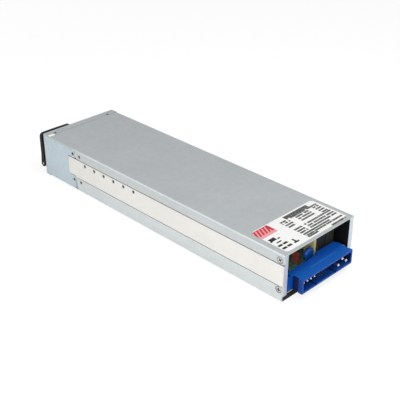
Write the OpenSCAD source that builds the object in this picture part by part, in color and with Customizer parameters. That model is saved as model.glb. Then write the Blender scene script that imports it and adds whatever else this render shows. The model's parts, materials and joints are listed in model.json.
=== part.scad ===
// Plug-in power module, one rack unit high: a flat sheet-steel case with
// aluminium side plates, two fans and a folding handle at the front, and a
// blue blind-mate connector at the rear.
//
// Frame: the origin is the centre of the case underside, +Y points to the
// connector, +X to the handle's side, +Z up.  Millimetres.

/* [Case] */
// Length of the case, front plate to rear edge
case_l = 300; // [290:1:320]
// Width of the case
case_w = 85; // [84:0.5:92]
// Height of the case without the label
case_h = 41; // [40:0.25:41.5]
// Thickness of the folded steel sheet
sheet_t = 1.2; // [1:0.05:1.4]
// Outer bend radius of the folded edges
bend_r = 1.5; // [1.2:0.1:2]
// Thickness of each aluminium side plate
plate_t = 5.1; // [4:0.1:6]
// How far the plate's raised band stays below the cover flanges' outer face
band_recess = 0.3; // [0.1:0.05:0.6]
// Joint between neighbouring sheet edges
joint_gap = 0.3; // [0.2:0.05:0.5]
// Open joint between the plate's raised band and the cover flanges
band_gap = 0.6; // [0.3:0.05:0.9]

/* [Covers] */
// Height of the top cover's side flanges
top_flange_h = 8.2; // [7.5:0.1:10]
// Height of the bottom cover's side flanges
bottom_flange_h = 12.9; // [12.5:0.1:14]
// Open joint between the housing's tabs and the covers' flanges
tab_gap = 2.9; // [2:0.1:4]
// Distance from the flanges' rear ends to the rear edge
flange_rear_gap = 0.5; // [0.5:0.1:1.2]

/* [Front housing] */
// Depth of the housing's side tabs
tab_l = 48.7; // [46:0.1:50]
// Depth of the housing's side wall between its tabs
wall_l = 38.8; // [37:0.1:41]
// Height of the lower tab
low_tab_h = 14; // [13:0.1:15]
// Depth of the lips turned over the covers' front edges
lip_l = 7.9; // [7.4:0.1:8.4]
// Outer radius of the housing's upright front edges
corner_r = 2.5; // [2:0.1:3]
// Pitch of the hexagonal air holes
hex_pitch = 4.2; // [3.8:0.1:5]
// Width of the metal left between two air holes
hex_web = 0.8; // [0.6:0.05:1.2]

/* [Fans] */
// Depth of the fan frames
fan_depth = 25; // [20:0.5:26]
// Radial thickness of the fan frame round its duct
fan_rim = 0.9; // [0.7:0.05:1.2]
// Radius of the rotor hub
hub_r = 9.5; // [8:0.25:11]
// Number of rotor blades
blades = 7; // [5:1:9]
// Pitch angle of the blades
blade_pitch = 38; // [30:1:45]
// Thickness of the blades
blade_t = 1.1; // [0.9:0.1:1.5]
// Radius of the rotor shaft
shaft_r = 1.5; // [1.2:0.1:2]

/* [Handle] */
// Width of the folding handle
handle_w = 37; // [34:0.5:39]
// Width of the handle's legs and top bar
handle_bar = 5.5; // [5:0.25:7]
// Depth of the handle bar, front to back
handle_depth = 3.8; // [3:0.1:4.5]
// Free space between the closed handle's legs and the front plate
handle_gap = 1.2; // [0.9:0.1:2]
// Distance of the handle's pivot from the front plate
pivot_out = 3.2; // [2.9:0.1:3.6]
// Height of the handle's pivot above the underside
pivot_z = 8.6; // [7:0.1:10]
// Radius of the pivot pins
pivot_pin_r = 1.25; // [1:0.05:1.5]

/* [Latch] */
// Width of the latch tooth
tooth_w = 6.7; // [5:0.1:7]
// Stroke of the latch tooth
tooth_stroke = 1.5; // [1:0.1:1.8]

/* [Connector] */
// Width of the connector's shroud
shroud_w = 61.6; // [60:0.2:63]
// Height of the connector's shroud
shroud_h = 12.6; // [12:0.1:14]
// How far the shroud stands out past the case
shroud_out = 9.4; // [8:0.1:11]
// Thickness of the shroud's walls
shroud_wall = 1.6; // [1.4:0.1:2]
// Depth of the shroud's cavity
cavity_d = 9.2; // [8:0.1:10]
// Radius of the three input pins
input_pin_r = 1.2; // [1:0.05:1.4]
// Radius of the output pins
output_pin_r = 0.8; // [0.6:0.05:1]
// Radius of the signal pins
signal_pin_r = 0.4; // [0.3:0.05:0.5]
// How far the pins' tips stay inside the mating face
tip_recess = 2; // [1:0.1:3]

/* [Boards] */
// Thickness of the main board
board_t = 1.6; // [1.2:0.1:2]
// Space between the bottom cover and the main board
board_rise = 3.2; // [2.6:0.1:3.6]
// Thickness of the insulating sheet
insulation_t = 0.5; // [0.3:0.05:0.8]

/* [Inner parts] */
// Diameter of the two storage capacitors
bulk_d = 28; // [25:0.5:29]
// Width of the common-mode choke
choke_w = 22.5; // [21:0.5:24]
// Height of the common-mode choke's core
choke_h = 26; // [22:0.5:27]
// Depth of the common-mode choke over its windings
choke_t = 12.4; // [11:0.1:13]
// Thickness of the choke's two windings
winding_t = 1.9; // [1.5:0.1:2.2]
// Outer diameter of the power-factor choke
pfc_d = 33; // [28:0.5:34]
// Length of the main transformer
trafo_l = 40; // [36:0.5:42]
// Width of the main transformer
trafo_w = 44; // [38:0.5:48]
// Diameter of the output capacitors
out_cap_d = 12.5; // [10:0.5:12.5]
// Height of the output capacitors
out_cap_h = 25; // [20:0.5:27]

/* [Screws] */
// Head radius of the small case screws
small_head_r = 1.5; // [1.3:0.05:1.8]
// Head radius of the large rear screws
large_head_r = 2.9; // [2.6:0.05:3]
// Shank radius of the small screws
small_shank_r = 1.1; // [0.9:0.05:1.2]
// Shank radius of the large screws
large_shank_r = 1.5; // [1.3:0.05:1.8]
// Pitch of the six transistor screws
device_pitch = 13.5; // [12:0.1:14]

/* [Label] */
// Width of the rating label
label_w = 73.6; // [70:0.1:76]
// Length of the rating label
label_l = 37; // [34:0.5:40]
// Thickness of the rating label
label_t = 0.15; // [0.1:0.01:0.25]

/* [Hidden] */
$fn = 48;

fit = 0.05;                      // radial play of a pin or screw in its hole
hw = case_w / 2;
y_front = -case_l / 2;
y_rear = case_l / 2;
top_in = case_h - sheet_t;       // underside of the top cover
wall_in = hw - sheet_t;          // inner face of the flanges and housing
plate_in = hw - plate_t;         // inner face of the side plates
flange_y1 = y_rear - flange_rear_gap;
tab_y = y_front + tab_l;
flange_y0 = tab_y + tab_gap;
wall_y = y_front + wall_l;
lip_y = y_front + lip_l;
cover_y = lip_y + joint_gap;     // front edges of the two covers
tongue_t = sheet_t;
band_z0 = bottom_flange_h + band_gap;
band_z1 = case_h - top_flange_h - band_gap;

// fans
fan_seat_gap = 0.3;
fan_s = min(case_h - 2 * sheet_t - 2 * fan_seat_gap, wall_in - 1.6);
fan_x = fan_s / 2 + 0.3;
fan_z = case_h / 2;
fan_hole = 32 / 38 * fan_s / 2;  // frame hole offset from the fan's axis
bracket_t = 1;
bracket_y = lip_y + 2.5;         // front face of the fan bracket
fan_y0 = bracket_y + bracket_t;
fan_y1 = fan_y0 + fan_depth;
plate_y0 = max(wall_y - 1, fan_y1 + 0.4);
duct_r = fan_s / 2 - fan_rim;
tip_r = duct_r - 0.6;
stator_l = 6;                    // depth of the stator's spider at the rear
rotor_y0 = fan_y0 + 4.6;
rotor_y1 = fan_y1 - stator_l - 0.3;
fan_screw_r = 1.3;
fan_head_r = 1.8;

// handle
pivot_y = y_front - pivot_out;
handle_x1 = hw;
handle_x0 = hw - handle_w;
handle_top = case_h + 0.3;
handle_y0 = y_front - handle_gap - handle_depth;
end_r = pivot_out - 0.3;         // round lower ends clear the front plate

// latch
tooth_x1 = wall_in - 0.3;
tooth_x0 = tooth_x1 - tooth_w;
tooth_y0 = lip_y - 1.3;
tooth_y1 = bracket_y - 0.3;
tooth_h = tooth_stroke + 1.3;    // stays in its slot when it is pressed
leg_t = 1;
leg_x1 = tooth_x1 - 0.7;         // clears the housing's rounded corner
leg_y0 = y_front + sheet_t + 0.3;
slot_gap = 0.3;

// boards
board_z = sheet_t + board_rise;
board_top = board_z + board_t;
board_x = plate_in - insulation_t - 0.1;
board_y0 = fan_y1 + 2.4;
board_y1 = y_rear - 1;
spacer_r = 2.4;
insulation_z = sheet_t;
rear_lip_t = 0.45;               // turned-up rear edge of the insulating sheet

// connector
shroud_z = board_top;
shroud_y1 = y_rear + shroud_out;
cavity_y0 = shroud_y1 - cavity_d;
flange_face = y_rear - 0.5;
conn_back_signal = y_rear - 6.8;
conn_back_power = y_rear - 8.5;
conn_ear_x = board_x;
conn_top = shroud_z + shroud_h + 0.2;
conn_ledge = shroud_z + 8.5;      // seat of the two screws
pin_y1 = shroud_y1 - tip_recess;
pin_z_high = shroud_z + 7.4;
pin_z_low = shroud_z + 2.95;

// inner parts, placed in rows from the connector forwards
row_gap = 2;
choke_y1 = conn_back_power - 2 * input_pin_r - 0.5;
choke_y0 = choke_y1 - choke_t;
choke_x = -(plate_in - 3 - choke_w / 2);
choke_z = board_top + 1.5;       // seat of the choke's core on its base
choke_leg = 7;
choke_yoke = 6;
film_y1 = y_rear - 20;
film_l = 5.5;
xcap_y1 = choke_y0 - row_gap;
xcap_t = 14;
row_c1 = min(xcap_y1 - xcap_t, film_y1 - film_l) - row_gap;
row_c_l = 22;
row_d1 = row_c1 - row_c_l - row_gap;
pfc_x = 12.5;
pfc_y = row_d1 - pfc_d / 2;
row_e1 = row_d1 - pfc_d - row_gap;
bulk_x = bulk_d / 2 + 1.2;

// rows placed from the fans backwards; the storage capacitors fill the rest
out_cap_pitch = out_cap_d + 0.5;
inductor_l = 22;
row_h1 = board_y0 + 28.4 + out_cap_pitch;
row_g1 = row_h1 + row_gap + inductor_l;
row_f1 = row_g1 + row_gap + trafo_l;
bulk_l = row_e1 - row_f1 - row_gap - 1;
busbar_x = bulk_x + bulk_d / 2 + 0.4;

// power transistors behind the side plates' screws
device_y0 = y_front + 63.9;
device_n = 6;
device_z = band_z1 - 3.2;
device_w = 10.2;
device_t = 4.4;
pad_t = 0.3;
device_in = plate_in - pad_t - device_t;
out_cap_n = floor(2 * (device_in - 0.2) / out_cap_pitch);

screw_front_y = flange_y0 + 5.1;
screw_tab_y = tab_y - 2.1;
screw_rear_y = y_rear - 3.9;
screw_top_z = case_h - 4.8;
screw_low_z = 9.9;
rear_top_z = case_h - 5;
rear_low_z = 9.9;
lip_screw_x = tooth_x0 - 2.4;
lip_screw_y = lip_y - 1.9;
mm = 0.01;

// ---------------------------------------------------------------- helpers

// Box from corner a to corner b
module block(a, b) { translate(a) cube([b[0] - a[0], b[1] - a[1], b[2] - a[2]]); }

// Round bar along X, Y or Z
module bar_x(r, x0, x1, y, z) { translate([x0, y, z]) rotate([0, 90, 0]) cylinder(r = r, h = x1 - x0); }
module bar_y(r, y0, y1, x, z) { translate([x, y1, z]) rotate([90, 0, 0]) cylinder(r = r, h = y1 - y0); }
module bar_z(r, z0, z1, x, y) { translate([x, y, z0]) cylinder(r = r, h = z1 - z0); }

// The same on both sides of the case
module both_sides() { children(); mirror([1, 0, 0]) children(); }

// Flat outline with rounded corners
module rounded(w, h, r) {
    square([w - 2 * r, h], center = true);
    square([w, h - 2 * r], center = true);
    for (i = [-1, 1], j = [-1, 1]) translate([i * (w / 2 - r), j * (h / 2 - r)]) circle(r = r);
}

// Cap-shaped section of a folded cover: plate at the top, flanges down to z = 0
module cover_section(h) {
    difference() {
        union() {
            translate([-hw, 0]) square([case_w, h - bend_r]);
            translate([-hw + bend_r, 0]) square([case_w - 2 * bend_r, h]);
            for (i = [-1, 1]) translate([i * (hw - bend_r), h - bend_r]) circle(r = bend_r);
        }
        translate([-wall_in, -1]) square([2 * wall_in, h - sheet_t + 1]);
    }
}

// A folded cover lying with its plate on top, from the front edge to y1
module folded_cover(flange_h, plate_y1) {
    difference() {
        translate([0, plate_y1, 0]) rotate([90, 0, 0])
            linear_extrude(height = plate_y1 - cover_y) cover_section(flange_h);
        for (i = [-1, 1]) {
            block([i * hw - 3, cover_y - 1, -1], [i * hw + 3, flange_y0, flange_h - sheet_t]);
            block([i * hw - 3, flange_y1, -1], [i * hw + 3, plate_y1 + 1, flange_h - sheet_t]);
        }
    }
}

// Holes in a flange for the heads of its screws, on both sides
module head_holes(r, y, z) { both_sides() bar_x(r + fit, wall_in - 2, hw + 2, y, z); }

// A flush screw through the flange into the side plate
module side_screw(head_r, shank_r, y, z) {
    bar_x(head_r, wall_in, hw - 0.1, y, z);
    bar_x(shank_r, plate_in + 0.2, wall_in + mm, y, z);
}

// ------------------------------------------------------------ case, covers

module bottom_cover() {
    color([0.80, 0.83, 0.85]) difference() {
        union() {
            translate([0, 0, bottom_flange_h]) mirror([0, 0, 1]) folded_cover(bottom_flange_h, flange_y1);
            block([-plate_in, y_front + sheet_t + 0.2, sheet_t - mm],
                  [plate_in, cover_y + 2, sheet_t + tongue_t]);
        }
        head_holes(small_head_r, screw_front_y, screw_low_z);
        head_holes(large_head_r, screw_rear_y, rear_low_z);
        // relief where the tongue dips under the housing's lip
        block([-hw - 1, y_front, -1], [hw + 1, cover_y, sheet_t]);
    }
}

module top_cover() {
    color([0.68, 0.70, 0.71]) difference() {
        union() {
            translate([0, 0, case_h - top_flange_h]) folded_cover(top_flange_h, y_rear);
            block([-plate_in, y_front + sheet_t + 0.2, top_in - tongue_t],
                  [tooth_x0 - slot_gap - 0.1, cover_y + 2, top_in + mm]);
        }
        head_holes(small_head_r, screw_front_y, screw_top_z);
        head_holes(large_head_r, screw_rear_y, rear_top_z);
        block([-hw - 1, y_front, top_in], [hw + 1, cover_y, case_h + 1]);
        latch_slot();
        for (i = [-1, 1]) bar_z(0.8 + fit, top_in - 3, top_in + 2, i * lip_screw_x, lip_screw_y);
    }
}

// Opening in the lip and the top cover's corner for the latch tooth
module latch_slot() {
    block([tooth_x0 - slot_gap, tooth_y0 - slot_gap, top_in - 2],
          [tooth_x1 + slot_gap, tooth_y1 + slot_gap, case_h + 1]);
}

// Aluminium side plate: thin where the flanges lie on it, thick between them
module side_plate() {
    difference() {
        union() {
            block([plate_in, plate_y0, sheet_t], [wall_in, y_rear, top_in]);
            block([plate_in, max(wall_y + joint_gap, plate_y0), band_z0],
                  [hw - band_recess, y_rear, band_z1]);
        }
        // the band clears the housing's lower tab, the rear end the insulating sheet's lip
        block([wall_in, plate_y0 - 1, 0], [hw + 1, tab_y + joint_gap, low_tab_h + joint_gap]);
        block([plate_in - 1, y_rear - rear_lip_t - 0.15, 0], [hw + 1, y_rear + 1, board_z + 0.1]);
        for (z = [screw_low_z, screw_top_z])
            for (y = [screw_tab_y, screw_front_y]) bar_x(small_shank_r + fit, plate_in - 1, hw, y, z);
        for (z = [rear_low_z, rear_top_z]) bar_x(large_shank_r + fit, plate_in - 1, hw, screw_rear_y, z);
        for (i = [0 : device_n - 1]) {
            bar_x(small_shank_r + fit, plate_in - 1, hw + 1, device_y0 + i * device_pitch, device_z);
            bar_x(small_head_r + fit, hw - band_recess - 1.4, hw + 1, device_y0 + i * device_pitch, device_z);
        }
    }
}

module right_side_plate() { color([0.91, 0.90, 0.88]) side_plate(); }
module left_side_plate() { color([0.91, 0.90, 0.88]) mirror([1, 0, 0]) side_plate(); }

// Plan of the front housing: front edge with rounded corners, depth d, inset t
module housing_plan(d, t) {
    r = corner_r - t;
    translate([-hw + t, y_front + corner_r]) square([case_w - 2 * t, d - corner_r]);
    translate([-hw + corner_r, y_front + t]) square([case_w - 2 * corner_r, corner_r]);
    for (i = [-1, 1]) translate([i * (hw - corner_r), y_front + corner_r]) circle(r = r);
}

// Hexagonal air holes inside a circle of radius r
module hex_field(r) {
    rows = ceil(r / hex_pitch) + 1;
    for (i = [-rows : rows], j = [-rows : rows]) {
        p = [(i + (j % 2 == 0 ? 0 : 0.5)) * hex_pitch, j * hex_pitch * 0.866];
        if (norm(p) < r - hex_pitch / 2) translate(p) rotate(30)
            circle(r = (hex_pitch - hex_web) / sqrt(3), $fn = 6);
    }
}

module front_housing() {
    color([0.72, 0.78, 0.81]) difference() {
        union() {
            difference() {
                translate([0, 0, sheet_t]) linear_extrude(height = top_in - sheet_t) difference() {
                    housing_plan(tab_l, 0);
                    housing_plan(tab_l + 1, sheet_t);
                }
                // side walls cut back between the tabs
                for (i = [-1, 1])
                    block([i * hw - 3, wall_y, low_tab_h], [i * hw + 3, tab_y + 1, case_h - top_flange_h]);
            }
            for (z = [0, top_in]) translate([0, 0, z])
                linear_extrude(height = sheet_t) housing_plan(lip_l, 0);
            for (z = [sheet_t, top_in]) translate([0, 0, z - mm])
                linear_extrude(height = 2 * mm) difference() {
                housing_plan(lip_l, 0);
                housing_plan(lip_l + 1, sheet_t);
            }
        }
        latch_slot();
        for (i = [-1, 1]) translate([i * fan_x, y_front + sheet_t + 1, fan_z]) rotate([90, 0, 0])
            linear_extrude(height = sheet_t + 2) hex_field(duct_r - 0.4);
        for (i = [-1 : 1]) bar_y(1.25 + fit, y_front - 1, y_front + sheet_t + 1, 0, fan_z + i * 6.5);
        for (z = [screw_low_z, screw_top_z]) head_holes(small_head_r, screw_tab_y, z);
        for (i = [-1, 1]) bar_z(small_head_r + fit, top_in - 1, case_h + 1, i * lip_screw_x, lip_screw_y);
        // three pin holes on the lip beside the handle
        for (i = [0 : 2]) bar_z(0.6, top_in - 1, case_h + 1, 2.4 + 3.2 * i, y_front + 2.7);
        // fixing holes for the handle bracket
        for (x = bracket_screw_x) bar_y(1.1 + fit, y_front - 1, y_front + sheet_t + 1, x, pivot_z);
    }
}

// ------------------------------------------------------------------- fans

module fan_bracket() {
    z0 = sheet_t + tongue_t + 0.2;
    z1 = top_in - tongue_t - 0.2;
    color([0.75, 0.77, 0.78]) difference() {
        union() {
            block([-wall_in, bracket_y, z0], [wall_in, fan_y0, z1]);
            both_sides() block([wall_in - 1, bracket_y, z0 + 3], [wall_in, plate_y0 - 6, z1 - 3]);
        }
        for (i = [-1, 1]) {
            bar_y(duct_r - 0.4, bracket_y - 1, fan_y0 + 1, i * fan_x, fan_z);
            for (k = [-1, 1])
                bar_y(fan_screw_r + fit, bracket_y - 1, fan_y0 + 1, i * (fan_x - k * fan_hole),
                    fan_z + k * fan_hole);
        }
    }
}

// Square fan frame with a round duct, a rear spider and a bearing tube
module fan_frame() {
    s = fan_s / 2;
    hub_y0 = fan_y1 - stator_l;
    difference() {
        block([-s, fan_y0, fan_z - s], [s, fan_y1, fan_z + s]);
        bar_y(duct_r, fan_y0 - 1, fan_y1 + 1, 0, fan_z);
        for (i = [-1, 1], k = [-1, 1])
            bar_y(fan_screw_r + fit, fan_y0 - 1, fan_y1 + 1, i * fan_hole, fan_z + k * fan_hole);
        // the frame is waisted between its two corner-lugged flanges
        for (i = [-1, 1]) {
            block([i * s - 0.4, fan_y0 + 4, fan_z - s * 0.5], [i * s + 0.4, fan_y1 - 4, fan_z + s * 0.5]);
            block([-s * 0.5, fan_y0 + 4, fan_z + i * s - 0.4], [s * 0.5, fan_y1 - 4, fan_z + i * s + 0.4]);
        }
    }
    difference() {
        union() {
            bar_y(hub_r, hub_y0, fan_y1, 0, fan_z);
            for (a = [20 : 90 : 290]) translate([0, 0, fan_z]) rotate([0, a, 0])
                block([hub_r - 1, fan_y1 - 3, -0.9], [duct_r + 0.5, fan_y1, 0.9]);
        }
        bar_y(shaft_r + fit, hub_y0 - 1, fan_y1 - 1, 0, fan_z);
    }
}

// Rotor: cupped hub with a rounded nose, pitched blades and a shaft
module fan_rotor() {
    l = rotor_y1 - rotor_y0;
    translate([0, 0, fan_z]) {
        difference() {
            translate([0, rotor_y0, 0]) rotate([-90, 0, 0]) rotate_extrude() {
                square([hub_r - 1.5, l]);
                translate([0, 1.5]) square([hub_r, l - 1.5]);
                translate([hub_r - 1.5, 1.5]) circle(r = 1.5);
            }
            bar_y(hub_r - 1.6, rotor_y0 + 3, rotor_y1 + 1, 0, 0);
        }
        bar_y(shaft_r, rotor_y0 + 2, fan_y1 - 1.4, 0, 0);
        intersection() {
            difference() {
                bar_y(tip_r, rotor_y0 + 0.8, rotor_y1 - 0.4, 0, 0);
                bar_y(hub_r - 0.6, rotor_y0 - 1, rotor_y1 + 1, 0, 0);
            }
            for (i = [0 : blades - 1]) rotate([0, i * 360 / blades, 0])
                translate([0, (rotor_y0 + rotor_y1) / 2, 0]) rotate([0, 0, 0]) rotate([blade_pitch, 0, 0])
                    intersection() {
                        translate([hub_r - 2, -l, -blade_t / 2]) cube([tip_r, 2 * l, blade_t]);
                        translate([hub_r - 2, -l * 0.62, -l]) cube([tip_r, l * 1.24, 2 * l]);
                    }
        }
    }
}

module right_fan_frame() { color([0.10, 0.10, 0.11]) translate([fan_x, 0, 0]) fan_frame(); }
module left_fan_frame() { color([0.10, 0.10, 0.11]) translate([-fan_x, 0, 0]) fan_frame(); }
module right_fan_rotor() { color([0.14, 0.14, 0.15]) translate([fan_x, 0, 0]) fan_rotor(); }
module left_fan_rotor() { color([0.14, 0.14, 0.15]) translate([-fan_x, 0, 0]) fan_rotor(); }

module fan_screws() {
    color([0.7, 0.7, 0.72]) for (i = [-1, 1], k = [-1, 1]) {
        x = i * (fan_x - k * fan_hole);
        z = fan_z + k * fan_hole;
        bar_y(fan_head_r, bracket_y - 1.1, bracket_y, x, z);
        bar_y(fan_screw_r, bracket_y - mm, fan_y0 + 8, x, z);
    }
}

// Leads from each fan's frame to its header on the board
module fan_leads() {
    color([0.75, 0.1, 0.1]) both_sides() {
        bar_y(1, fan_y1, board_y0 + 4, fan_x - 6, board_top + 2);
        block([fan_x - 8.5, board_y0 + 4, board_top], [fan_x - 3.5, board_y0 + 9, board_top + 5]);
    }
}

module indicator_lenses() {
    color([0.5, 0.9, 0.5]) for (i = [-1 : 1]) {
        bar_y(1.25, y_front - 0.2, bracket_y - 0.8, 0, fan_z + i * 6.5);
        translate([0, y_front - 0.2, fan_z + i * 6.5]) scale([1, 0.4, 1]) sphere(r = 1.25);
    }
}

module indicator_board() {
    color([0.05, 0.4, 0.2]) block([-2.4, bracket_y - 0.8, fan_z - 9.5], [2.4, bracket_y, fan_z + 9.5]);
}

// ----------------------------------------------------------- handle, latch

// Front view of the handle: an arch with a tighter outer corner
module handle_outline(inset) {
    r1 = inset > 0 ? 1.5 : 5;
    r2 = r1 + 1.5;
    x0 = handle_x0 + inset;
    x1 = handle_x1 - inset;
    z1 = handle_top - inset;
    hull() {
        translate([x0, pivot_z - end_r - inset]) square([x1 - x0, 1]);
        translate([x1 - r1, z1 - r1]) circle(r = r1);
        translate([x0 + r2, z1 - 0.6 - r2]) circle(r = r2);
    }
}

// Side view of the handle: slim legs standing on wider round ends
module handle_profile() {
    r = handle_depth / 2;
    hull() {
        translate([pivot_y, pivot_z]) circle(r = end_r);
        translate([handle_y0 + r, pivot_z + 10]) circle(r = r);
    }
    hull() for (z = [pivot_z + 10, handle_top - r]) translate([handle_y0 + r, z]) circle(r = r);
}

module bail_handle() {
    color([0.06, 0.06, 0.065]) difference() {
        intersection() {
            translate([0, y_front, 0]) rotate([90, 0, 0]) linear_extrude(height = 20) difference() {
                handle_outline(0);
                handle_outline(handle_bar);
            }
            rotate([90, 0, 90]) translate([0, 0, handle_x0 - 1])
                linear_extrude(height = handle_w + 2) handle_profile();
        }
        bar_x(pivot_pin_r + fit, handle_x0 - 1, handle_x1 + 1, pivot_y, pivot_z);
    }
}

// Bracket between the legs that carries the pivot pins
bracket_x0 = handle_x0 + handle_bar + 0.3;
bracket_x1 = handle_x1 - handle_bar - 0.3;
bracket_screw_x = [bracket_x0 + 9, bracket_x1 - 9];

module handle_bracket() {
    color([0.09, 0.09, 0.10]) difference() {
        union() {
            block([bracket_x0, y_front - 2, pivot_z - 3.4], [bracket_x1, y_front, pivot_z + 3.4]);
            for (x = [bracket_x0, bracket_x1 - 5]) {
                block([x, pivot_y, pivot_z - end_r], [x + 5, y_front - 1, pivot_z + end_r]);
                bar_x(end_r, x, x + 5, pivot_y, pivot_z);
            }
        }
        for (x = [bracket_x0, bracket_x1 - 5]) bar_x(pivot_pin_r + 0.01, x - 1, x + 6, pivot_y, pivot_z);
        for (x = bracket_screw_x) bar_y(1.1 + fit, y_front - 3, y_front + 1, x, pivot_z);
    }
}

module handle_pins() {
    color([0.85, 0.85, 0.86]) {
        bar_x(pivot_pin_r, handle_x0 + 0.2, bracket_x0 + 4.5, pivot_y, pivot_z);
        bar_x(pivot_pin_r, bracket_x1 - 4.5, handle_x1 - 0.2, pivot_y, pivot_z);
        for (x = bracket_screw_x) {
            bar_y(2, y_front - 3, y_front - 2, x, pivot_z);
            bar_y(1.1, y_front - 2 - mm, y_front + sheet_t + 1, x, pivot_z);
        }
    }
}

// Bright tooth that fills the slot at the top corner, on a leg behind the front
module latch_tooth() {
    color([0.93, 0.93, 0.94]) {
        difference() {
            block([tooth_x0, tooth_y0, case_h - tooth_h], [tooth_x1, tooth_y1, case_h]);
            translate([tooth_x0 - 1, tooth_y1, case_h - 0.9]) rotate([30, 0, 0]) cube([tooth_w + 2, 4, 4]);
        }
        block([tooth_x0, leg_y0, case_h - tooth_h - 14], [leg_x1, leg_y0 + leg_t, case_h - tooth_h + 1.2]);
        block([tooth_x0, leg_y0, case_h - tooth_h], [leg_x1, tooth_y0 + mm, case_h - tooth_h + 1.2]);
    }
}

// U-shaped guide fixed behind the front plate, round the tooth's leg
module latch_guide() {
    z0 = case_h - tooth_h - 12;
    z1 = z0 + 7;
    color([0.75, 0.77, 0.78]) difference() {
        intersection() {
            block([tooth_x0 - 1.2, y_front + sheet_t, z0], [wall_in, leg_y0 + leg_t + 1.2, z1]);
            translate([0, 0, z0 - 1]) linear_extrude(height = z1 - z0 + 2) housing_plan(lip_l, sheet_t);
        }
        block([tooth_x0 - 0.2, y_front + sheet_t - 1, z0 - 1],
              [tooth_x1 + 0.2, leg_y0 + leg_t + 0.2, z1 + 1]);
    }
}

// ------------------------------------------------------ boards, insulation

spacer_y = [board_y0 + 6, (board_y0 + board_y1) / 2, board_y1 - 34];
spacer_at = [for (y = spacer_y, i = [-1, 1]) [i * (board_x - 2.7), y]];

module main_board() {
    color([0.05, 0.36, 0.20]) difference() {
        block([-board_x, board_y0, board_z], [board_x, board_y1, board_top]);
        for (p = spacer_at) bar_z(1.25, board_z - 1, board_top + 1, p[0], p[1]);
    }
}

// Black sheet under the board, turned up along the rear edge and the left plate
module insulating_sheet() {
    color([0.05, 0.05, 0.05]) difference() {
        union() {
            block([-plate_in, board_y0, insulation_z], [board_x - 0.6, y_rear, insulation_z + insulation_t]);
            block([-plate_in, row_f1, insulation_z], [-plate_in + insulation_t, y_rear, top_in - 1.2]);
            block([-wall_in + 0.2, y_rear - rear_lip_t, sheet_t / 2], [wall_in - 0.2, y_rear, board_z]);
        }
        for (p = spacer_at) bar_z(spacer_r + 0.1, 0, board_z, p[0], p[1]);
    }
}

module board_spacers() {
    color([0.80, 0.78, 0.65]) for (p = spacer_at) {
        difference() {
            bar_z(spacer_r, sheet_t, board_z, p[0], p[1]);
            bar_z(1, sheet_t - 1, board_z + 1, p[0], p[1]);
        }
        bar_z(1.2, board_z - mm, board_top + mm, p[0], p[1]);
        bar_z(2.2, board_top, board_top + 1.2, p[0], p[1]);
    }
}

// -------------------------------------------------------------- connector

input_pins = [[-21.7, pin_z_high - 0.3], [-27.1, pin_z_low], [-17.2, pin_z_low]];
output_pins = [for (i = [0 : 3]) [26.2 - 4.22 * i, pin_z_high]];
signal_pins = [for (i = [0 : 4], z = [pin_z_high, pin_z_high - 2.54]) [9.6 - 2.54 * i, z]];

// Shrouded header: stepped body on the board, ears at both ends
module connector_housing() {
    w = shroud_w / 2;
    z1 = shroud_z + shroud_h;
    color([0.0, 0.25, 0.68]) difference() {
        union() {
            // shroud, set in behind its collar
            block([-w + 0.8, flange_face - 1, shroud_z], [w - 0.8, shroud_y1, z1]);
            block([-w, shroud_y1 - 3.9, shroud_z], [w, shroud_y1, z1]);
            // body with one full ear and one low ear
            block([-w, y_rear - 5.7, shroud_z], [conn_ear_x, flange_face, conn_top]);
            block([-conn_ear_x, y_rear - 5.7, shroud_z], [-w + mm, flange_face, conn_ledge]);
            block([-2, conn_back_signal, shroud_z], [w - 1, y_rear - 4, conn_top - 2]);
            block([-w + 1, conn_back_power, shroud_z], [-5.9, y_rear - 4, conn_top]);
            block([-6, conn_back_power, shroud_z], [-1.9, y_rear - 4, conn_top - 2]);
            // long rib along the top
            block([-18, flange_face + 2.3, z1 - 1], [13.5, flange_face + 2.9, z1 + 0.3]);
        }
        // cavity
        block([-w + shroud_wall, cavity_y0, shroud_z + shroud_wall],
              [w - shroud_wall, shroud_y1 + 1, z1 - shroud_wall]);
        // polarising notches in the lower wall
        for (x = [-10, 14])
            block([x - 1, cavity_y0 + 2, shroud_z + 0.6], [x + 1, shroud_y1 + 1, shroud_z + 2]);
        for (p = input_pins) bar_y(input_pin_r + 0.01, conn_back_power - 1, cavity_y0 + 1, p[0], p[1]);
        for (p = output_pins) bar_y(output_pin_r + 0.01, conn_back_power - 1, cavity_y0 + 1, p[0], p[1]);
        for (p = signal_pins) bar_y(signal_pin_r + 0.01, conn_back_power - 1, cavity_y0 + 1, p[0], p[1]);
        for (i = [-1, 1]) {
            bar_z(1.2 + fit, shroud_z - 1, conn_top + 4, i * conn_screw_x, conn_screw_y);
            bar_z(1.8 + fit, conn_ledge, conn_top + 4, i * conn_screw_x, conn_screw_y);
        }
    }
}
conn_screw_x = board_x - 2.9;
conn_screw_y = y_rear - 2.6;

// Straight pin with a chamfered tip, bent down to the board at its tail
module header_pin(r, p, tail_y) {
    bar_y(r, tail_y, pin_y1 - r * 0.6, p[0], p[1]);
    translate([p[0], pin_y1, p[1]]) rotate([90, 0, 0]) cylinder(r1 = r * 0.5, r2 = r, h = r * 0.6 + mm);
    bar_z(r, board_top, p[1], p[0], tail_y);
}

module connector_input_pins() {
    color([0.86, 0.84, 0.78]) for (p = input_pins)
        header_pin(input_pin_r, p, conn_back_power - input_pin_r - 0.2);
}
module connector_output_pins() {
    color([0.86, 0.84, 0.78]) for (p = output_pins)
        header_pin(output_pin_r, p, conn_back_signal - output_pin_r - 0.2);
}
module connector_signal_pins() {
    color([0.86, 0.84, 0.78]) for (i = [0 : len(signal_pins) - 1])
        header_pin(signal_pin_r, signal_pins[i],
            conn_back_signal - signal_pin_r - 0.2 - (i % 2 == 0 ? 1.3 : 0));
}

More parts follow.
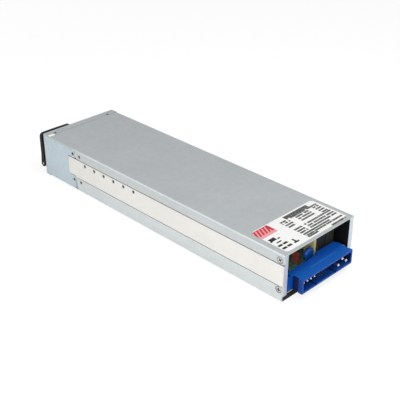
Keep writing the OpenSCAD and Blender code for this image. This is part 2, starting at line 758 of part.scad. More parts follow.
module connector_screws() {
    color([0.88, 0.88, 0.89]) for (i = [-1, 1]) {
        bar_z(1.2, board_top, conn_ledge + mm, i * conn_screw_x, conn_screw_y);
        bar_z(1.8, conn_ledge, conn_ledge + 1.2, i * conn_screw_x, conn_screw_y);
    }
}

// ------------------------------------------------------------- input side

// Both legs' centres of the choke's rectangular core
choke_legs = [for (i = [-1, 1]) choke_x + i * (choke_w - choke_leg) / 2 - i * winding_t];

// Closed rectangular ferrite frame standing on its base
module choke_core() {
    x0 = choke_legs[0] - choke_leg / 2;
    x1 = choke_legs[1] + choke_leg / 2;
    color([0.15, 0.14, 0.13]) difference() {
        block([x0, choke_y0 + winding_t, choke_z], [x1, choke_y1 - winding_t, choke_z + choke_h]);
        block([x0 + choke_leg, choke_y0, choke_z + choke_yoke],
              [x1 - choke_leg, choke_y1, choke_z + choke_h - choke_yoke]);
    }
}

// A winding wraps each leg between its bobbin's flanges
module choke_windings() {
    color([0.22, 0.12, 0.06]) for (x = choke_legs) difference() {
        translate([x, (choke_y0 + choke_y1) / 2, choke_z + choke_yoke + 0.8])
            linear_extrude(height = choke_h - 2 * choke_yoke - 1.6)
                rounded(choke_leg + 2 * winding_t, choke_t, 1.8);
        block([x - choke_leg / 2, choke_y0 + winding_t, 0],
              [x + choke_leg / 2, choke_y1 - winding_t, case_h]);
    }
}

module choke_base() {
    color([0.06, 0.06, 0.06]) {
        block([choke_x - choke_w / 2, choke_y0, board_top], [choke_x + choke_w / 2, choke_y1, choke_z]);
        for (x = choke_legs, z = [choke_z + choke_yoke, choke_z + choke_h - choke_yoke - 0.8]) difference() {
            block([x - choke_leg / 2 - winding_t, choke_y0, z],
                  [x + choke_leg / 2 + winding_t, choke_y1, z + 0.8]);
            block([x - choke_leg / 2, choke_y0 + winding_t, z - 1],
                  [x + choke_leg / 2, choke_y1 - winding_t, z + 2]);
        }
    }
}

module x_capacitor() {
    color([0.90, 0.82, 0.45]) {
        block([-board_x + 6, xcap_y1 - xcap_t, board_top], [-board_x + 18, xcap_y1, board_top + 22]);
        block([choke_x + choke_w / 2 + 0.7, choke_y1 - 10, board_top],
              [choke_x + choke_w / 2 + 3.8, choke_y1, board_top + 22]);
    }
}

module film_capacitor() {
    color([0.70, 0.10, 0.08]) difference() {
        block([-2.6, film_y1 - film_l, board_top], [0.8, film_y1, board_top + 8.2]);
        block([-1.8, film_y1 - film_l + 0.8, board_top - 1], [0, film_y1 - 0.8, board_top + 0.4]);
    }
}

// Disc with domed faces on two wire legs
module disc_varistor() {
    r = 5.5;
    t = 4;
    y = y_rear - 12;
    x = choke_x + choke_w / 2 + 4.1 + r;
    z = board_top + 6.2 + r;
    color([0.05, 0.25, 0.65]) {
        translate([x, y, z]) rotate([90, 0, 0]) rotate_extrude() intersection() {
            union() {
                translate([0, -t / 2]) square([r - t / 2, t]);
                translate([r - t / 2, 0]) circle(r = t / 2);
            }
            translate([0, -t]) square([2 * r, 2 * t]);
        }
        for (i = [-1, 1]) bar_z(0.4, board_top, z - r / 2, x + i * 3, y);
    }
}

module bridge_rectifier() {
    color([0.10, 0.10, 0.10])
        block([-plate_in + pad_t + 3.2, row_c1 - row_c_l + 1, board_top + 5],
              [-plate_in + pad_t + 7, row_c1 - 1, board_top + 23]);
}
module bridge_heatsink() {
    color([0.75, 0.76, 0.78]) difference() {
        block([-board_x, row_c1 - row_c_l, board_top], [-plate_in + pad_t + 3.2, row_c1, board_top + 28]);
        for (i = [0 : 4]) block([-plate_in, row_c1 - row_c_l + 2 + i * 4, board_top + 2],
                                [-board_x + 1.1, row_c1 - row_c_l + 4 + i * 4, board_top + 30]);
    }
}
module relay() {
    color([0.12, 0.12, 0.13]) block([8, row_c1 - 20, board_top], [24, row_c1, board_top + 16]);
}
module fuse() {
    y0 = row_c1 - row_c_l + 1;
    x = -12;
    z = board_top + 4.6;
    color([0.85, 0.84, 0.78]) {
        bar_y(2.6, y0, y0 + 20, x, z);
        for (y = [y0, y0 + 15]) {
            bar_y(3.1, y, y + 5, x, z);
            block([x - 1.5, y + 1, board_top], [x + 1.5, y + 4, z]);
        }
    }
}

// ------------------------------------------------- storage, power conversion

module ring_z(r0, r1, z0, z1) {
    translate([0, 0, z0]) rotate_extrude() translate([r0, 0]) square([r1 - r0, z1 - z0]);
}
module pfc_choke_core() {
    color([0.30, 0.32, 0.34]) translate([pfc_x, pfc_y, 0])
        ring_z(pfc_d * 0.27 + fit, pfc_d / 2 - 2 - fit, board_top + 4, board_top + 18);
}
module pfc_choke_winding() {
    color([0.72, 0.38, 0.16]) translate([pfc_x, pfc_y, 0]) difference() {
        ring_z(pfc_d * 0.27 - 2, pfc_d / 2, board_top + 2, board_top + 20);
        ring_z(pfc_d * 0.27, pfc_d / 2 - 2, board_top + 4, board_top + 18);
        block([0, -2, 0], [pfc_d, 2, 60]);
    }
    color([0.1, 0.1, 0.1]) translate([pfc_x, pfc_y, 0]) bar_z(pfc_d / 2 - 1, board_top, board_top + 2, 0, 0);
}

// Upright board with a few controllers on it
module control_board() {
    x = -8;
    color([0.04, 0.32, 0.16]) {
        block([x, row_e1 + 1, board_top], [x + 1.6, row_d1 - 1, board_top + 27]);
        for (i = [0 : 2])
            block([x - 1.4, row_e1 + 4 + i * 10, board_top + 8],
                  [x + mm, row_e1 + 10 + i * 10, board_top + 18]);
    }
}
module aux_transformer() {
    color([0.85, 0.75, 0.25]) {
        block([-board_x + 3.5, row_d1 - 24, board_top], [-board_x + 19.5, row_d1 - 4, board_top + 14]);
        block([-board_x + 1.5, row_d1 - 19, board_top + 2], [-board_x + 21.5, row_d1 - 9, board_top + 12]);
    }
}

// Two cans lying on the board, sleeved, with a rolled groove near one end
module bulk_capacitors() {
    z = board_top + bulk_d / 2;
    color([0.10, 0.10, 0.12]) for (i = [-1, 1])
        translate([i * bulk_x, row_e1 - bulk_l, z]) rotate([-90, 0, 0])
        rotate_extrude() {
            square([bulk_d / 2 - 0.8, bulk_l]);
            translate([0, 0.8]) square([bulk_d / 2, 2.4]);
            translate([0, 4.4]) square([bulk_d / 2, bulk_l - 5.2]);
        }
}

module transformer_core() {
    z1 = board_top + 28;
    color([0.13, 0.13, 0.14]) difference() {
        block([-trafo_w / 2, row_f1 - trafo_l, board_top], [trafo_w / 2, row_f1, z1]);
        for (y = [row_f1 - trafo_l - 1, row_f1 - trafo_l * 0.24])
            block([-trafo_w / 2 + 6, y, board_top + 5], [trafo_w / 2 - 6, y + trafo_l * 0.24 + 1, z1 - 5]);
        difference() {
            block([-trafo_w / 2 + 6, row_f1 - trafo_l, board_top + 5], [trafo_w / 2 - 6, row_f1, z1 - 5]);
            bar_z(7, board_top, z1, 0, row_f1 - trafo_l / 2);
        }
    }
}
module transformer_winding() {
    z1 = board_top + 28;
    color([0.92, 0.80, 0.20]) translate([0, row_f1 - trafo_l / 2, 0]) difference() {
        intersection() {
            bar_z(trafo_w / 2 - 6.2, board_top + 5, z1 - 5, 0, 0);
            block([-trafo_w, -trafo_l / 2 + 1, 0], [trafo_w, trafo_l / 2 - 1, 60]);
        }
        bar_z(7.1, board_top, z1, 0, 0);
    }
}

module output_inductor() {
    color([0.35, 0.36, 0.37]) block([-15, row_g1 - inductor_l, board_top], [15, row_g1, board_top + 20]);
}
module output_capacitors() {
    r = out_cap_d / 2;
    color([0.12, 0.12, 0.14]) for (i = [0 : out_cap_n - 1])
        translate([(i - (out_cap_n - 1) / 2) * out_cap_pitch, row_h1 - r - 0.5, board_top]) rotate_extrude() {
        square([r - 0.5, out_cap_h]);
        square([r, 2]);
        translate([0, 3]) square([r, out_cap_h - 3.5]);
    }
}
module output_busbar() {
    color([0.80, 0.55, 0.35]) {
        block([busbar_x, row_f1 + 2, board_top + 1.5], [busbar_x + 2, row_c1, board_top + 8]);
        for (y = [row_f1 + 6, row_c1 - 10])
            block([busbar_x - 3, y, board_top], [busbar_x + mm, y + 6, board_top + 2.5]);
    }
}

// Transistors clamped to the side plate by the six screws
module transistors() {
    x1 = plate_in - pad_t;
    for (i = [0 : device_n - 1]) translate([0, device_y0 + i * device_pitch, 0]) difference() {
        union() {
            block([x1 - device_t, -device_w / 2, device_z - 12.5], [x1, device_w / 2, device_z - 3]);
            block([x1 - 1.3, -device_w / 2, device_z - 4], [x1, device_w / 2, device_z + 3]);
            for (k = [-1 : 1])
                block([x1 - 2.9, k * 2.54 - 0.4, board_top], [x1 - 2.3, k * 2.54 + 0.4, device_z - 12]);
        }
        bar_x(small_shank_r + fit, x1 - device_t - 1, x1 + 1, 0, device_z);
    }
}
module right_transistors() { color([0.10, 0.10, 0.11]) transistors(); }
module left_transistors() { color([0.10, 0.10, 0.11]) mirror([1, 0, 0]) transistors(); }
module thermal_pads() {
    color([0.80, 0.80, 0.82]) both_sides() difference() {
        block([plate_in - pad_t, device_y0 - device_w / 2 - 1, device_z - 13.5],
              [plate_in, device_y0 + (device_n - 1) * device_pitch + device_w / 2 + 1, device_z + 4]);
        for (i = [0 : device_n - 1])
            bar_x(small_shank_r + fit, plate_in - 2, plate_in + 1, device_y0 + i * device_pitch, device_z);
    }
}

// Chips and resistors on the board behind the connector
module board_small_parts() {
    x0 = board_x - 23.8;
    color([0.75, 0.73, 0.66]) {
        for (i = [0 : 5])
            block([x0 + 3.6 * i, film_y1 - 3, board_top],
                  [x0 + 2.2 + 3.6 * i, film_y1 - 1.4, board_top + 0.9]);
        for (i = [0 : 3])
            block([x0 + 1 + 5 * i, film_y1 + 2, board_top], [x0 + 3 + 5 * i, film_y1 + 5, board_top + 1.2]);
        block([x0 + 3, film_y1 - 14, board_top], [x0 + 13, film_y1 - 7, board_top + 2]);
        bar_z(3, board_top, board_top + 9, x0 + 14, film_y1 - 20);
    }
}

// ----------------------------------------------------------------- screws

module device_screws() {
    color([0.35, 0.35, 0.36]) both_sides() for (i = [0 : device_n - 1]) {
        bar_x(small_head_r, hw - band_recess - 1.4, hw - band_recess - 0.1, device_y0 + i * device_pitch,
            device_z);
        bar_x(small_shank_r, plate_in - pad_t - 1.3, hw - band_recess - 1.3, device_y0 + i * device_pitch,
            device_z);
    }
}
module housing_screws() {
    color([0.35, 0.35, 0.36]) both_sides() for (z = [screw_low_z, screw_top_z])
        side_screw(small_head_r, small_shank_r, screw_tab_y, z);
}
module cover_screws() {
    color([0.35, 0.35, 0.36]) both_sides() for (z = [screw_low_z, screw_top_z])
        side_screw(small_head_r, small_shank_r, screw_front_y, z);
}
module lip_screws() {
    color([0.35, 0.35, 0.36]) for (i = [-1, 1]) {
        bar_z(small_head_r, top_in, case_h - 0.1, i * lip_screw_x, lip_screw_y);
        bar_z(0.8, top_in - tongue_t - 1.5, top_in + mm, i * lip_screw_x, lip_screw_y);
    }
}
module rear_screws() {
    color([0.80, 0.80, 0.80]) both_sides() for (z = [rear_low_z, rear_top_z])
        side_screw(large_head_r, large_shank_r, screw_rear_y, z);
}

module rating_label() {
    color([0.95, 0.95, 0.95]) translate([-0.45, y_rear - 2.2 - label_l / 2, case_h])
        linear_extrude(height = label_t) rounded(label_w, label_l, 3.5);
}

bottom_cover();
top_cover();
right_side_plate();
left_side_plate();
front_housing();
fan_bracket();
right_fan_frame();
left_fan_frame();
right_fan_rotor();
left_fan_rotor();
fan_screws();
fan_leads();
indicator_lenses();
indicator_board();
bail_handle();
handle_bracket();
handle_pins();
latch_tooth();
latch_guide();
main_board();
insulating_sheet();
board_spacers();
connector_housing();
connector_input_pins();
connector_output_pins();
connector_signal_pins();
connector_screws();
choke_core();
choke_windings();
choke_base();
x_capacitor();
film_capacitor();
disc_varistor();
bridge_rectifier();
bridge_heatsink();
relay();
fuse();
pfc_choke_core();
pfc_choke_winding();
control_board();
aux_transformer();
bulk_capacitors();
transformer_core();
transformer_winding();
output_inductor();
output_capacitors();
output_busbar();
right_transistors();
left_transistors();
thermal_pads();
board_small_parts();
device_screws();
housing_screws();
cover_screws();
lip_screws();
rear_screws();
rating_label();
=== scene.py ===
"""Dresses the plug-in power module: sheet case, front fans, folding handle and rear connector.

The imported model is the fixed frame.  Every node gets the finish of its slot, and most
are copied with their seams merged and their edges broken, so that the copy stands for
the node.  Screws and the choke's round wire are modelled here.  Lengths in the classes
are in millimetres, unless their description says metres, and become metres where a
shape is made.
"""

import json
import logging
import math
from dataclasses import dataclass, replace
from enum import Enum
from typing import Callable, Sequence

import bmesh
import bpy
from mathutils import Matrix, Vector


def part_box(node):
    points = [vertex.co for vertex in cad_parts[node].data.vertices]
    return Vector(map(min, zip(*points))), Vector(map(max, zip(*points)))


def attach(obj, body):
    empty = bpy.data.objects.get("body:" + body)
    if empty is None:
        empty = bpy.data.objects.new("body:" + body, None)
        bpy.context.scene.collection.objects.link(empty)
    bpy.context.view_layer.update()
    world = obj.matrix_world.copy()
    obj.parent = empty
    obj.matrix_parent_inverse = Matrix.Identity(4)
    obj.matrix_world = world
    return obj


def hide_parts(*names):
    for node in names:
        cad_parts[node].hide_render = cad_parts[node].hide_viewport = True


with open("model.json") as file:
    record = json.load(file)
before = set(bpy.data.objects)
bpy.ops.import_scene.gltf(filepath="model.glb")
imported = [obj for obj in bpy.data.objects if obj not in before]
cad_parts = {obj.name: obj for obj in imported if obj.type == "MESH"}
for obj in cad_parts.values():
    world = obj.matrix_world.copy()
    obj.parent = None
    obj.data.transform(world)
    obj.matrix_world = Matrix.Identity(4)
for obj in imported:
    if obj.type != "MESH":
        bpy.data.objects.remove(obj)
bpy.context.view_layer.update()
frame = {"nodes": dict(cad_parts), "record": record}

LOG = logging.getLogger("power_module")
MM = 0.001
Triple = tuple[float, float, float]
Pair = tuple[float, float]
Spot = tuple[Triple, Triple]
Piece = bpy.types.Object
Node = bpy.types.Node
Socket = bpy.types.NodeSocket
Sockets = bpy.types.bpy_prop_collection
FaceTest = Callable[[bpy.types.MeshPolygon], bool]


def linear(code: Triple) -> tuple[float, float, float, float]:
    """Turns an sRGB colour of 0 to 255 into the linear RGBA that shaders take.

    Args:
        code: Red, green and blue, each from 0 to 255.

    Returns:
        Linear red, green, blue and an alpha of 1.
    """
    def channel(value: float) -> float:
        """Linearises one channel."""
        share = value / 255
        return share / 12.92 if share <= 0.04045 else ((share + 0.055) / 1.055) ** 2.4
    return (channel(code[0]), channel(code[1]), channel(code[2]), 1.0)


def grey(level: float) -> tuple[float, float, float, float]:
    """A linear grey with an alpha of 1."""
    return (level, level, level, 1.0)


# ---------------------------------------------------------------- node trees


class Graph:
    """Short calls that build a material's or a group's node tree."""

    def __init__(self, tree: bpy.types.NodeTree) -> None:
        """Keeps the tree that the calls work on."""
        self.tree = tree

    @classmethod
    def of_material(cls, name: str) -> tuple[bpy.types.Material, "Graph", Node]:
        """Makes a material with nodes.

        Args:
            name: The material's name.

        Returns:
            The material, the graph of its nodes and its Principled shader.
        """
        made = bpy.data.materials.new(name)
        made.use_nodes = True
        return made, cls(made.node_tree), made.node_tree.nodes["Principled BSDF"]

    def add(self, kind: str, **settings: object) -> Node:
        """Adds one node.

        Args:
            kind: The node's type name.
            settings: Properties to set on it.

        Returns:
            The new node.
        """
        node = self.tree.nodes.new(kind)
        for key, value in settings.items():
            setattr(node, key, value)
        return node

    def put(self, socket: Socket, value: object) -> None:
        """Links a socket to another, or sets its own value.

        Args:
            socket: The input to fill.
            value: Another node's output, or a constant.
        """
        if isinstance(value, bpy.types.NodeSocket):
            self.tree.links.new(value, socket)
        else:
            socket.default_value = value

    def feed(self, node: Node, **values: object) -> Node:
        """Fills a node's inputs.

        Args:
            node: The node.
            values: Outputs or constants by the input's name, with underscores for its spaces.

        Returns:
            The same node.
        """
        for key, value in values.items():
            self.put(node.inputs[key.replace("_", " ")], value)
        return node

    def use(self, group: bpy.types.NodeTree, **values: object) -> Node:
        """Places a shared group and fills its inputs."""
        return self.feed(self.add("ShaderNodeGroup", node_tree=group), **values)

    def math(self, operation: str, a: object, b: object = 0.0) -> Socket:
        """Adds a Math node.

        Args:
            operation: What it works out.
            a: Its first value.
            b: Its second value.

        Returns:
            Its result.
        """
        node = self.add("ShaderNodeMath", operation=operation)
        self.put(node.inputs[0], a)
        self.put(node.inputs[1], b)
        return node.outputs[0]

    def scaled(self, value: object, factor: object, base: object) -> Socket:
        """A value times a factor, plus a base."""
        return self.math("ADD", self.math("MULTIPLY", value, factor), base)

    def blend(self, share: object, a: object, b: object) -> Socket:
        """Mixes two colours.

        Args:
            share: How much of the second colour shows, from 0 to 1.
            a: The first colour.
            b: The second colour.

        Returns:
            The mixed colour.
        """
        node = self.add("ShaderNodeMix", data_type="RGBA")
        for index, value in ((0, share), (6, a), (7, b)):
            self.put(node.inputs[index], value)
        return node.outputs[2]

    def spot(self) -> Socket:
        """Object coordinates."""
        return self.add("ShaderNodeTexCoord").outputs["Object"]

    def axes(self) -> Sockets:
        """Splits the object coordinates.

        Returns:
            X, Y and Z.
        """
        split = self.add("ShaderNodeSeparateXYZ")
        self.put(split.inputs[0], self.spot())
        return split.outputs

    def place(self, scale: Triple) -> Socket:
        """Object coordinates, stretched by a scale."""
        return self.feed(self.add("ShaderNodeMapping"), Vector=self.spot(), Scale=scale).outputs["Vector"]

    def noise(self, vector: Socket, scale: object, detail: float, rough: float = 0.55) -> Socket:
        """The value of a Noise texture."""
        return self.feed(self.add("ShaderNodeTexNoise"), Vector=vector, Scale=scale, Detail=detail,
                         Roughness=rough).outputs[0]

    def ramp(self, value: object, low: float, high: float) -> Socket:
        """Maps low..high to 0..1, clamped."""
        return self.feed(self.add("ShaderNodeMapRange", clamp=True), Value=value, From_Min=low,
                         From_Max=high).outputs["Result"]

    def relief(self, shader: Node, height: Socket, depth: float, strength: float = 1.0) -> None:
        """Gives a shader a fine relief.

        Args:
            shader: The shader whose normal it bends.
            height: The relief's height, from 0 to 1.
            depth: Its full depth, in millimetres.
            strength: How much of it shows.
        """
        bump = self.feed(self.add("ShaderNodeBump"), Height=height, Distance=depth * MM, Strength=strength)
        self.put(shader.inputs["Normal"], bump.outputs[0])


class SharedGroups:
    """The effects that several finishes use, each a node group that is built once."""

    CRYSTAL_WANDER = 0.002                # how far a crystal's outline strays, in metres
    SCRATCH_TURNS = (0.35, 1.2)           # directions of the two sets of scratches, in radians
    SCRATCH_STRETCH = (1.0, 28.0, 28.0)   # how much finer they are across than along
    WORDS_PER_METRE = 420.0               # breaks between the printed words
    LETTERS_PER_METRE = 2300.0            # fine breaks that stand for letters

    @staticmethod
    def _make(name: str, inputs: dict[str, tuple[str, object]], output: tuple[str, str],
              fill: Callable[[Graph, Sockets], Socket]) -> bpy.types.NodeTree:
        """Makes a group, or returns the one that is there.

        Args:
            name: The group's name.
            inputs: Input names with their kind (Float, Color, Vector) and default.
            output: The output's name and kind.
            fill: Builds the inside from the graph and the given inputs, and returns the result.

        Returns:
            The node group.
        """
        if name in bpy.data.node_groups:
            return bpy.data.node_groups[name]
        tree = bpy.data.node_groups.new(name, "ShaderNodeTree")
        for key, (kind, default) in inputs.items():
            socket = tree.interface.new_socket(name=key, in_out="INPUT", socket_type=f"NodeSocket{kind}")
            socket.default_value = default
        tree.interface.new_socket(name=output[0], in_out="OUTPUT", socket_type=f"NodeSocket{output[1]}")
        graph = Graph(tree)
        source, sink = graph.add("NodeGroupInput"), graph.add("NodeGroupOutput")
        graph.put(sink.inputs[output[0]], fill(graph, source.outputs))
        return tree

    @classmethod
    def grain(cls) -> bpy.types.NodeTree:
        """Directional grain: fine noise, stretched by a vector."""
        def fill(graph: Graph, given: Sockets) -> Socket:
            """Builds the inside."""
            stretched = graph.add("ShaderNodeVectorMath", operation="MULTIPLY")
            graph.put(stretched.inputs[0], graph.spot())
            graph.put(stretched.inputs[1], given["Stretch"])
            return graph.noise(stretched.outputs[0], given["Scale"], detail=4.0, rough=0.6)
        return cls._make("Fine grain", {"Scale": ("Float", 1000.0), "Stretch": ("Vector", (1.0, 1.0, 1.0))},
                         ("Value", "Float"), fill)

    @classmethod
    def clouds(cls) -> bpy.types.NodeTree:
        """Broad soft unevenness, as handled sheet or moulding shows."""
        def fill(graph: Graph, given: Sockets) -> Socket:
            """Builds the inside."""
            spot = graph.spot()
            broad = graph.noise(spot, given["Scale"], detail=2.0, rough=0.5)
            fine = graph.noise(spot, graph.math("MULTIPLY", given["Scale"], 5.3), detail=2.0, rough=0.5)
            return graph.ramp(graph.scaled(broad, 0.7, graph.math("MULTIPLY", fine, 0.3)), 0.3, 0.7)
        return cls._make("Clouds", {"Scale": ("Float", 25.0)}, ("Value", "Float"), fill)

    @classmethod
    def spangle(cls) -> bpy.types.NodeTree:
        """Zinc crystals: small cells, each a little lighter or darker."""
        def fill(graph: Graph, given: Sockets) -> Socket:
            """Builds the inside."""
            spot = graph.spot()
            wander = graph.feed(graph.add("ShaderNodeTexNoise"), Vector=spot, Scale=given["Scale"])
            bent = graph.add("ShaderNodeVectorMath", operation="MULTIPLY_ADD")
            for index, value in enumerate((wander.outputs["Color"], (cls.CRYSTAL_WANDER,) * 3, spot)):
                graph.put(bent.inputs[index], value)
            cells = graph.feed(graph.add("ShaderNodeTexVoronoi", feature="F1"), Vector=bent.outputs[0],
                               Scale=given["Scale"])
            split = graph.add("ShaderNodeSeparateColor")
            graph.put(split.inputs[0], cells.outputs["Color"])
            return split.outputs[0]
        return cls._make("Zinc spangle", {"Scale": ("Float", 300.0)}, ("Value", "Float"), fill)

    @classmethod
    def tint(cls) -> bpy.types.NodeTree:
        """A colour made lighter or darker by a value round one half."""
        def fill(graph: Graph, given: Sockets) -> Socket:
            """Builds the inside."""
            swing = graph.scaled(graph.math("SUBTRACT", given["Value"], 0.5), given["Amount"], 1.0)
            lit = graph.add("ShaderNodeVectorMath", operation="SCALE")
            graph.put(lit.inputs[0], given["Color"])
            graph.put(lit.inputs["Scale"], swing)
            return lit.outputs[0]
        return cls._make("Tint", {"Color": ("Color", grey(0.5)), "Value": ("Float", 0.5),
                                  "Amount": ("Float", 0.1)}, ("Color", "Color"), fill)

    @classmethod
    def tinted(cls, graph: Graph, colour: object, value: Socket, amount: float) -> Socket:
        """A material's colour, made lighter or darker by the tint group."""
        return graph.use(cls.tint(), Color=colour, Value=value, Amount=amount).outputs["Color"]

    @classmethod
    def scuffs(cls) -> bpy.types.NodeTree:
        """Sparse fine scratches, as a mask from 0 to 1."""
        def fill(graph: Graph, given: Sockets) -> Socket:
            """Builds the inside."""
            spot = graph.spot()
            total: object = 0.0
            for angle in cls.SCRATCH_TURNS:
                turned = graph.feed(graph.add("ShaderNodeMapping"), Vector=spot,
                                    Rotation=(angle * 0.4, 0.2, angle), Scale=cls.SCRATCH_STRETCH)
                line = graph.noise(turned.outputs[0], given["Scale"], detail=1.0, rough=0.4)
                total = graph.math("ADD", graph.ramp(line, 0.7, 0.76), total)
            return graph.math("MINIMUM", total, 1.0)
        return cls._make("Scuffs", {"Scale": ("Float", 30.0)}, ("Mask", "Float"), fill)

    @classmethod
    def bar(cls) -> bpy.types.NodeTree:
        """A printed bar on the label: 1 inside a rectangle, broken into words if asked.

        Returns:
            The node group.
        """
        def fill(graph: Graph, given: Sockets) -> Socket:
            """Builds the inside."""
            axes = graph.axes()
            inside: object = 1.0
            for axis, low, high in ((0, "Left", "Right"), (1, "Low", "High")):
                for side, limit in (("GREATER_THAN", low), ("LESS_THAN", high)):
                    inside = graph.math("MULTIPLY", inside, graph.math(side, axes[axis], given[limit]))
            spot = graph.add("ShaderNodeCombineXYZ")
            graph.put(spot.inputs[0], axes[0])
            graph.put(spot.inputs[1], graph.math("MULTIPLY", given["Low"], 37.0))
            words = graph.ramp(graph.noise(spot.outputs[0], cls.WORDS_PER_METRE, detail=0.0), 0.27, 0.31)
            letters = graph.noise(graph.place((1.0, 0.55, 1.0)), cls.LETTERS_PER_METRE, detail=1.0)
            shapes = graph.scaled(graph.ramp(letters, 0.36, 0.52), 0.35, 0.65)
            solid = graph.math("SUBTRACT", 1.0, given["Broken"])
            shown = graph.math("MAXIMUM", solid, graph.math("MULTIPLY", words, shapes))
            return graph.math("MULTIPLY", inside, shown)
        limits = ("Left", "Right", "Low", "High", "Broken")
        return cls._make("Printed bar", {name: ("Float", 0.0) for name in limits}, ("Mask", "Float"), fill)


# ------------------------------------------------------------------ finishes


class Grain(Enum):
    """How a finish's fine grain runs; the value stretches the noise along X, Y and Z."""

    EVEN = (1.0, 1.0, 1.0)
    ALONG_Y = (1.0, 0.03, 1.0)
    ALONG_X = (0.03, 1.0, 1.0)


@dataclass(frozen=True)
class Seam:
    """A line across one axis along which painted shade or painted light changes the colour, along a joint or a
    bend.

    Attributes:
        axis: 1 for Y, 2 for Z.
        place: Middle of the line on that axis, in millimetres.
        half: Half its width.
        share: How much of the colour it takes away.
        tone: Grey that replaces it: 0 for painted shade, higher for a lighter painted line.
        core: Share of the half width over which the line keeps its full strength.
    """

    axis: int
    place: float
    half: float
    share: float
    tone: float = 0.0
    core: float = 0.5


@dataclass(frozen=True)
class Finish:
    """A rigid surface: sheet, moulding, can or casting.

    Attributes:
        colour: sRGB colour, 0 to 255.
        roughness: Mean roughness.
        metallic: Share of metal.
        grain: Direction of the grain.
        grain_scale: Grains per metre across the grain.
        grain_depth: How much the grain changes the colour.
        bump: Height of the grain's relief, in millimetres.
        clouds: How much the broad unevenness changes the colour.
        spangle: How much the zinc crystals change the colour.
        scuffs: How strongly scratches show.
        coat: Weight of a clear gloss on top.
        specular: Specular level of the base.
        seams: Lines of painted shade or light along joints and bends.
        cloud_scale: Clouds per metre.
        spangle_scale: Crystals per metre.
        scuff_scale: Scratches per metre.
        grain_roughens: Span of roughness from the grain's lows to its highs.
        cloud_roughens: What the clouds add to the roughness.
        scuff_smooths: What a full scratch takes off the roughness.
        coat_roughness: Roughness of the clear gloss.
        bump_strength: How much of the relief shows.
    """

    colour: Triple
    roughness: float = 0.5
    metallic: float = 0.0
    grain: Grain = Grain.EVEN
    grain_scale: float = 1500.0
    grain_depth: float = 0.10
    bump: float = 0.010
    clouds: float = 0.10
    spangle: float = 0.0
    scuffs: float = 0.0
    coat: float = 0.0
    specular: float = 0.5
    seams: tuple[Seam, ...] = ()
    cloud_scale: float = 22.0
    spangle_scale: float = 260.0
    scuff_scale: float = 26.0
    grain_roughens: float = 0.12
    cloud_roughens: float = 0.08
    scuff_smooths: float = 0.15
    coat_roughness: float = 0.12
    bump_strength: float = 0.6

    def _seamed(self, graph: Graph, colour: Socket) -> Socket:
        """Paints shade or light into a colour along the seams.

        Args:
            graph: The material's graph.
            colour: The colour between the seams.

        Returns:
            The colour with its seams.
        """
        for seam in self.seams:
            away = graph.math("ABSOLUTE", graph.math("SUBTRACT", graph.axes()[seam.axis], seam.place * MM))
            line = graph.ramp(away, seam.half * MM, seam.half * seam.core * MM)
            colour = graph.blend(graph.math("MULTIPLY", line, seam.share), colour, grey(seam.tone))
        return colour

    def material(self, name: str) -> bpy.types.Material:
        """Builds the material.

        Args:
            name: The material's name.

        Returns:
            The material, ready to assign.
        """
        made, graph, shader = Graph.of_material(name)
        grain = graph.use(SharedGroups.grain(), Scale=self.grain_scale,
                          Stretch=self.grain.value).outputs["Value"]
        cloud = graph.use(SharedGroups.clouds(), Scale=self.cloud_scale).outputs["Value"]
        colour = SharedGroups.tinted(graph, linear(self.colour), grain, self.grain_depth)
        colour = SharedGroups.tinted(graph, colour, cloud, self.clouds)
        if self.spangle:
            cells = graph.use(SharedGroups.spangle(), Scale=self.spangle_scale).outputs["Value"]
            colour = SharedGroups.tinted(graph, colour, cells, self.spangle)
        rough = graph.scaled(grain, self.grain_roughens, self.roughness - self.grain_roughens / 2)
        rough = graph.scaled(cloud, self.cloud_roughens, rough)
        if self.scuffs:
            mask = graph.use(SharedGroups.scuffs(), Scale=self.scuff_scale).outputs["Mask"]
            strong = graph.math("MULTIPLY", mask, self.scuffs)
            colour = SharedGroups.tinted(graph, colour, graph.math("ADD", strong, 0.5), 0.5)
            rough = graph.math("SUBTRACT", rough, graph.math("MULTIPLY", strong, self.scuff_smooths))
        graph.feed(shader, Base_Color=self._seamed(graph, colour), Roughness=rough, Metallic=self.metallic,
                   Specular_IOR_Level=self.specular, Coat_Weight=self.coat,
                   Coat_Roughness=self.coat_roughness)
        graph.relief(shader, grain, self.bump, self.bump_strength)
        return made


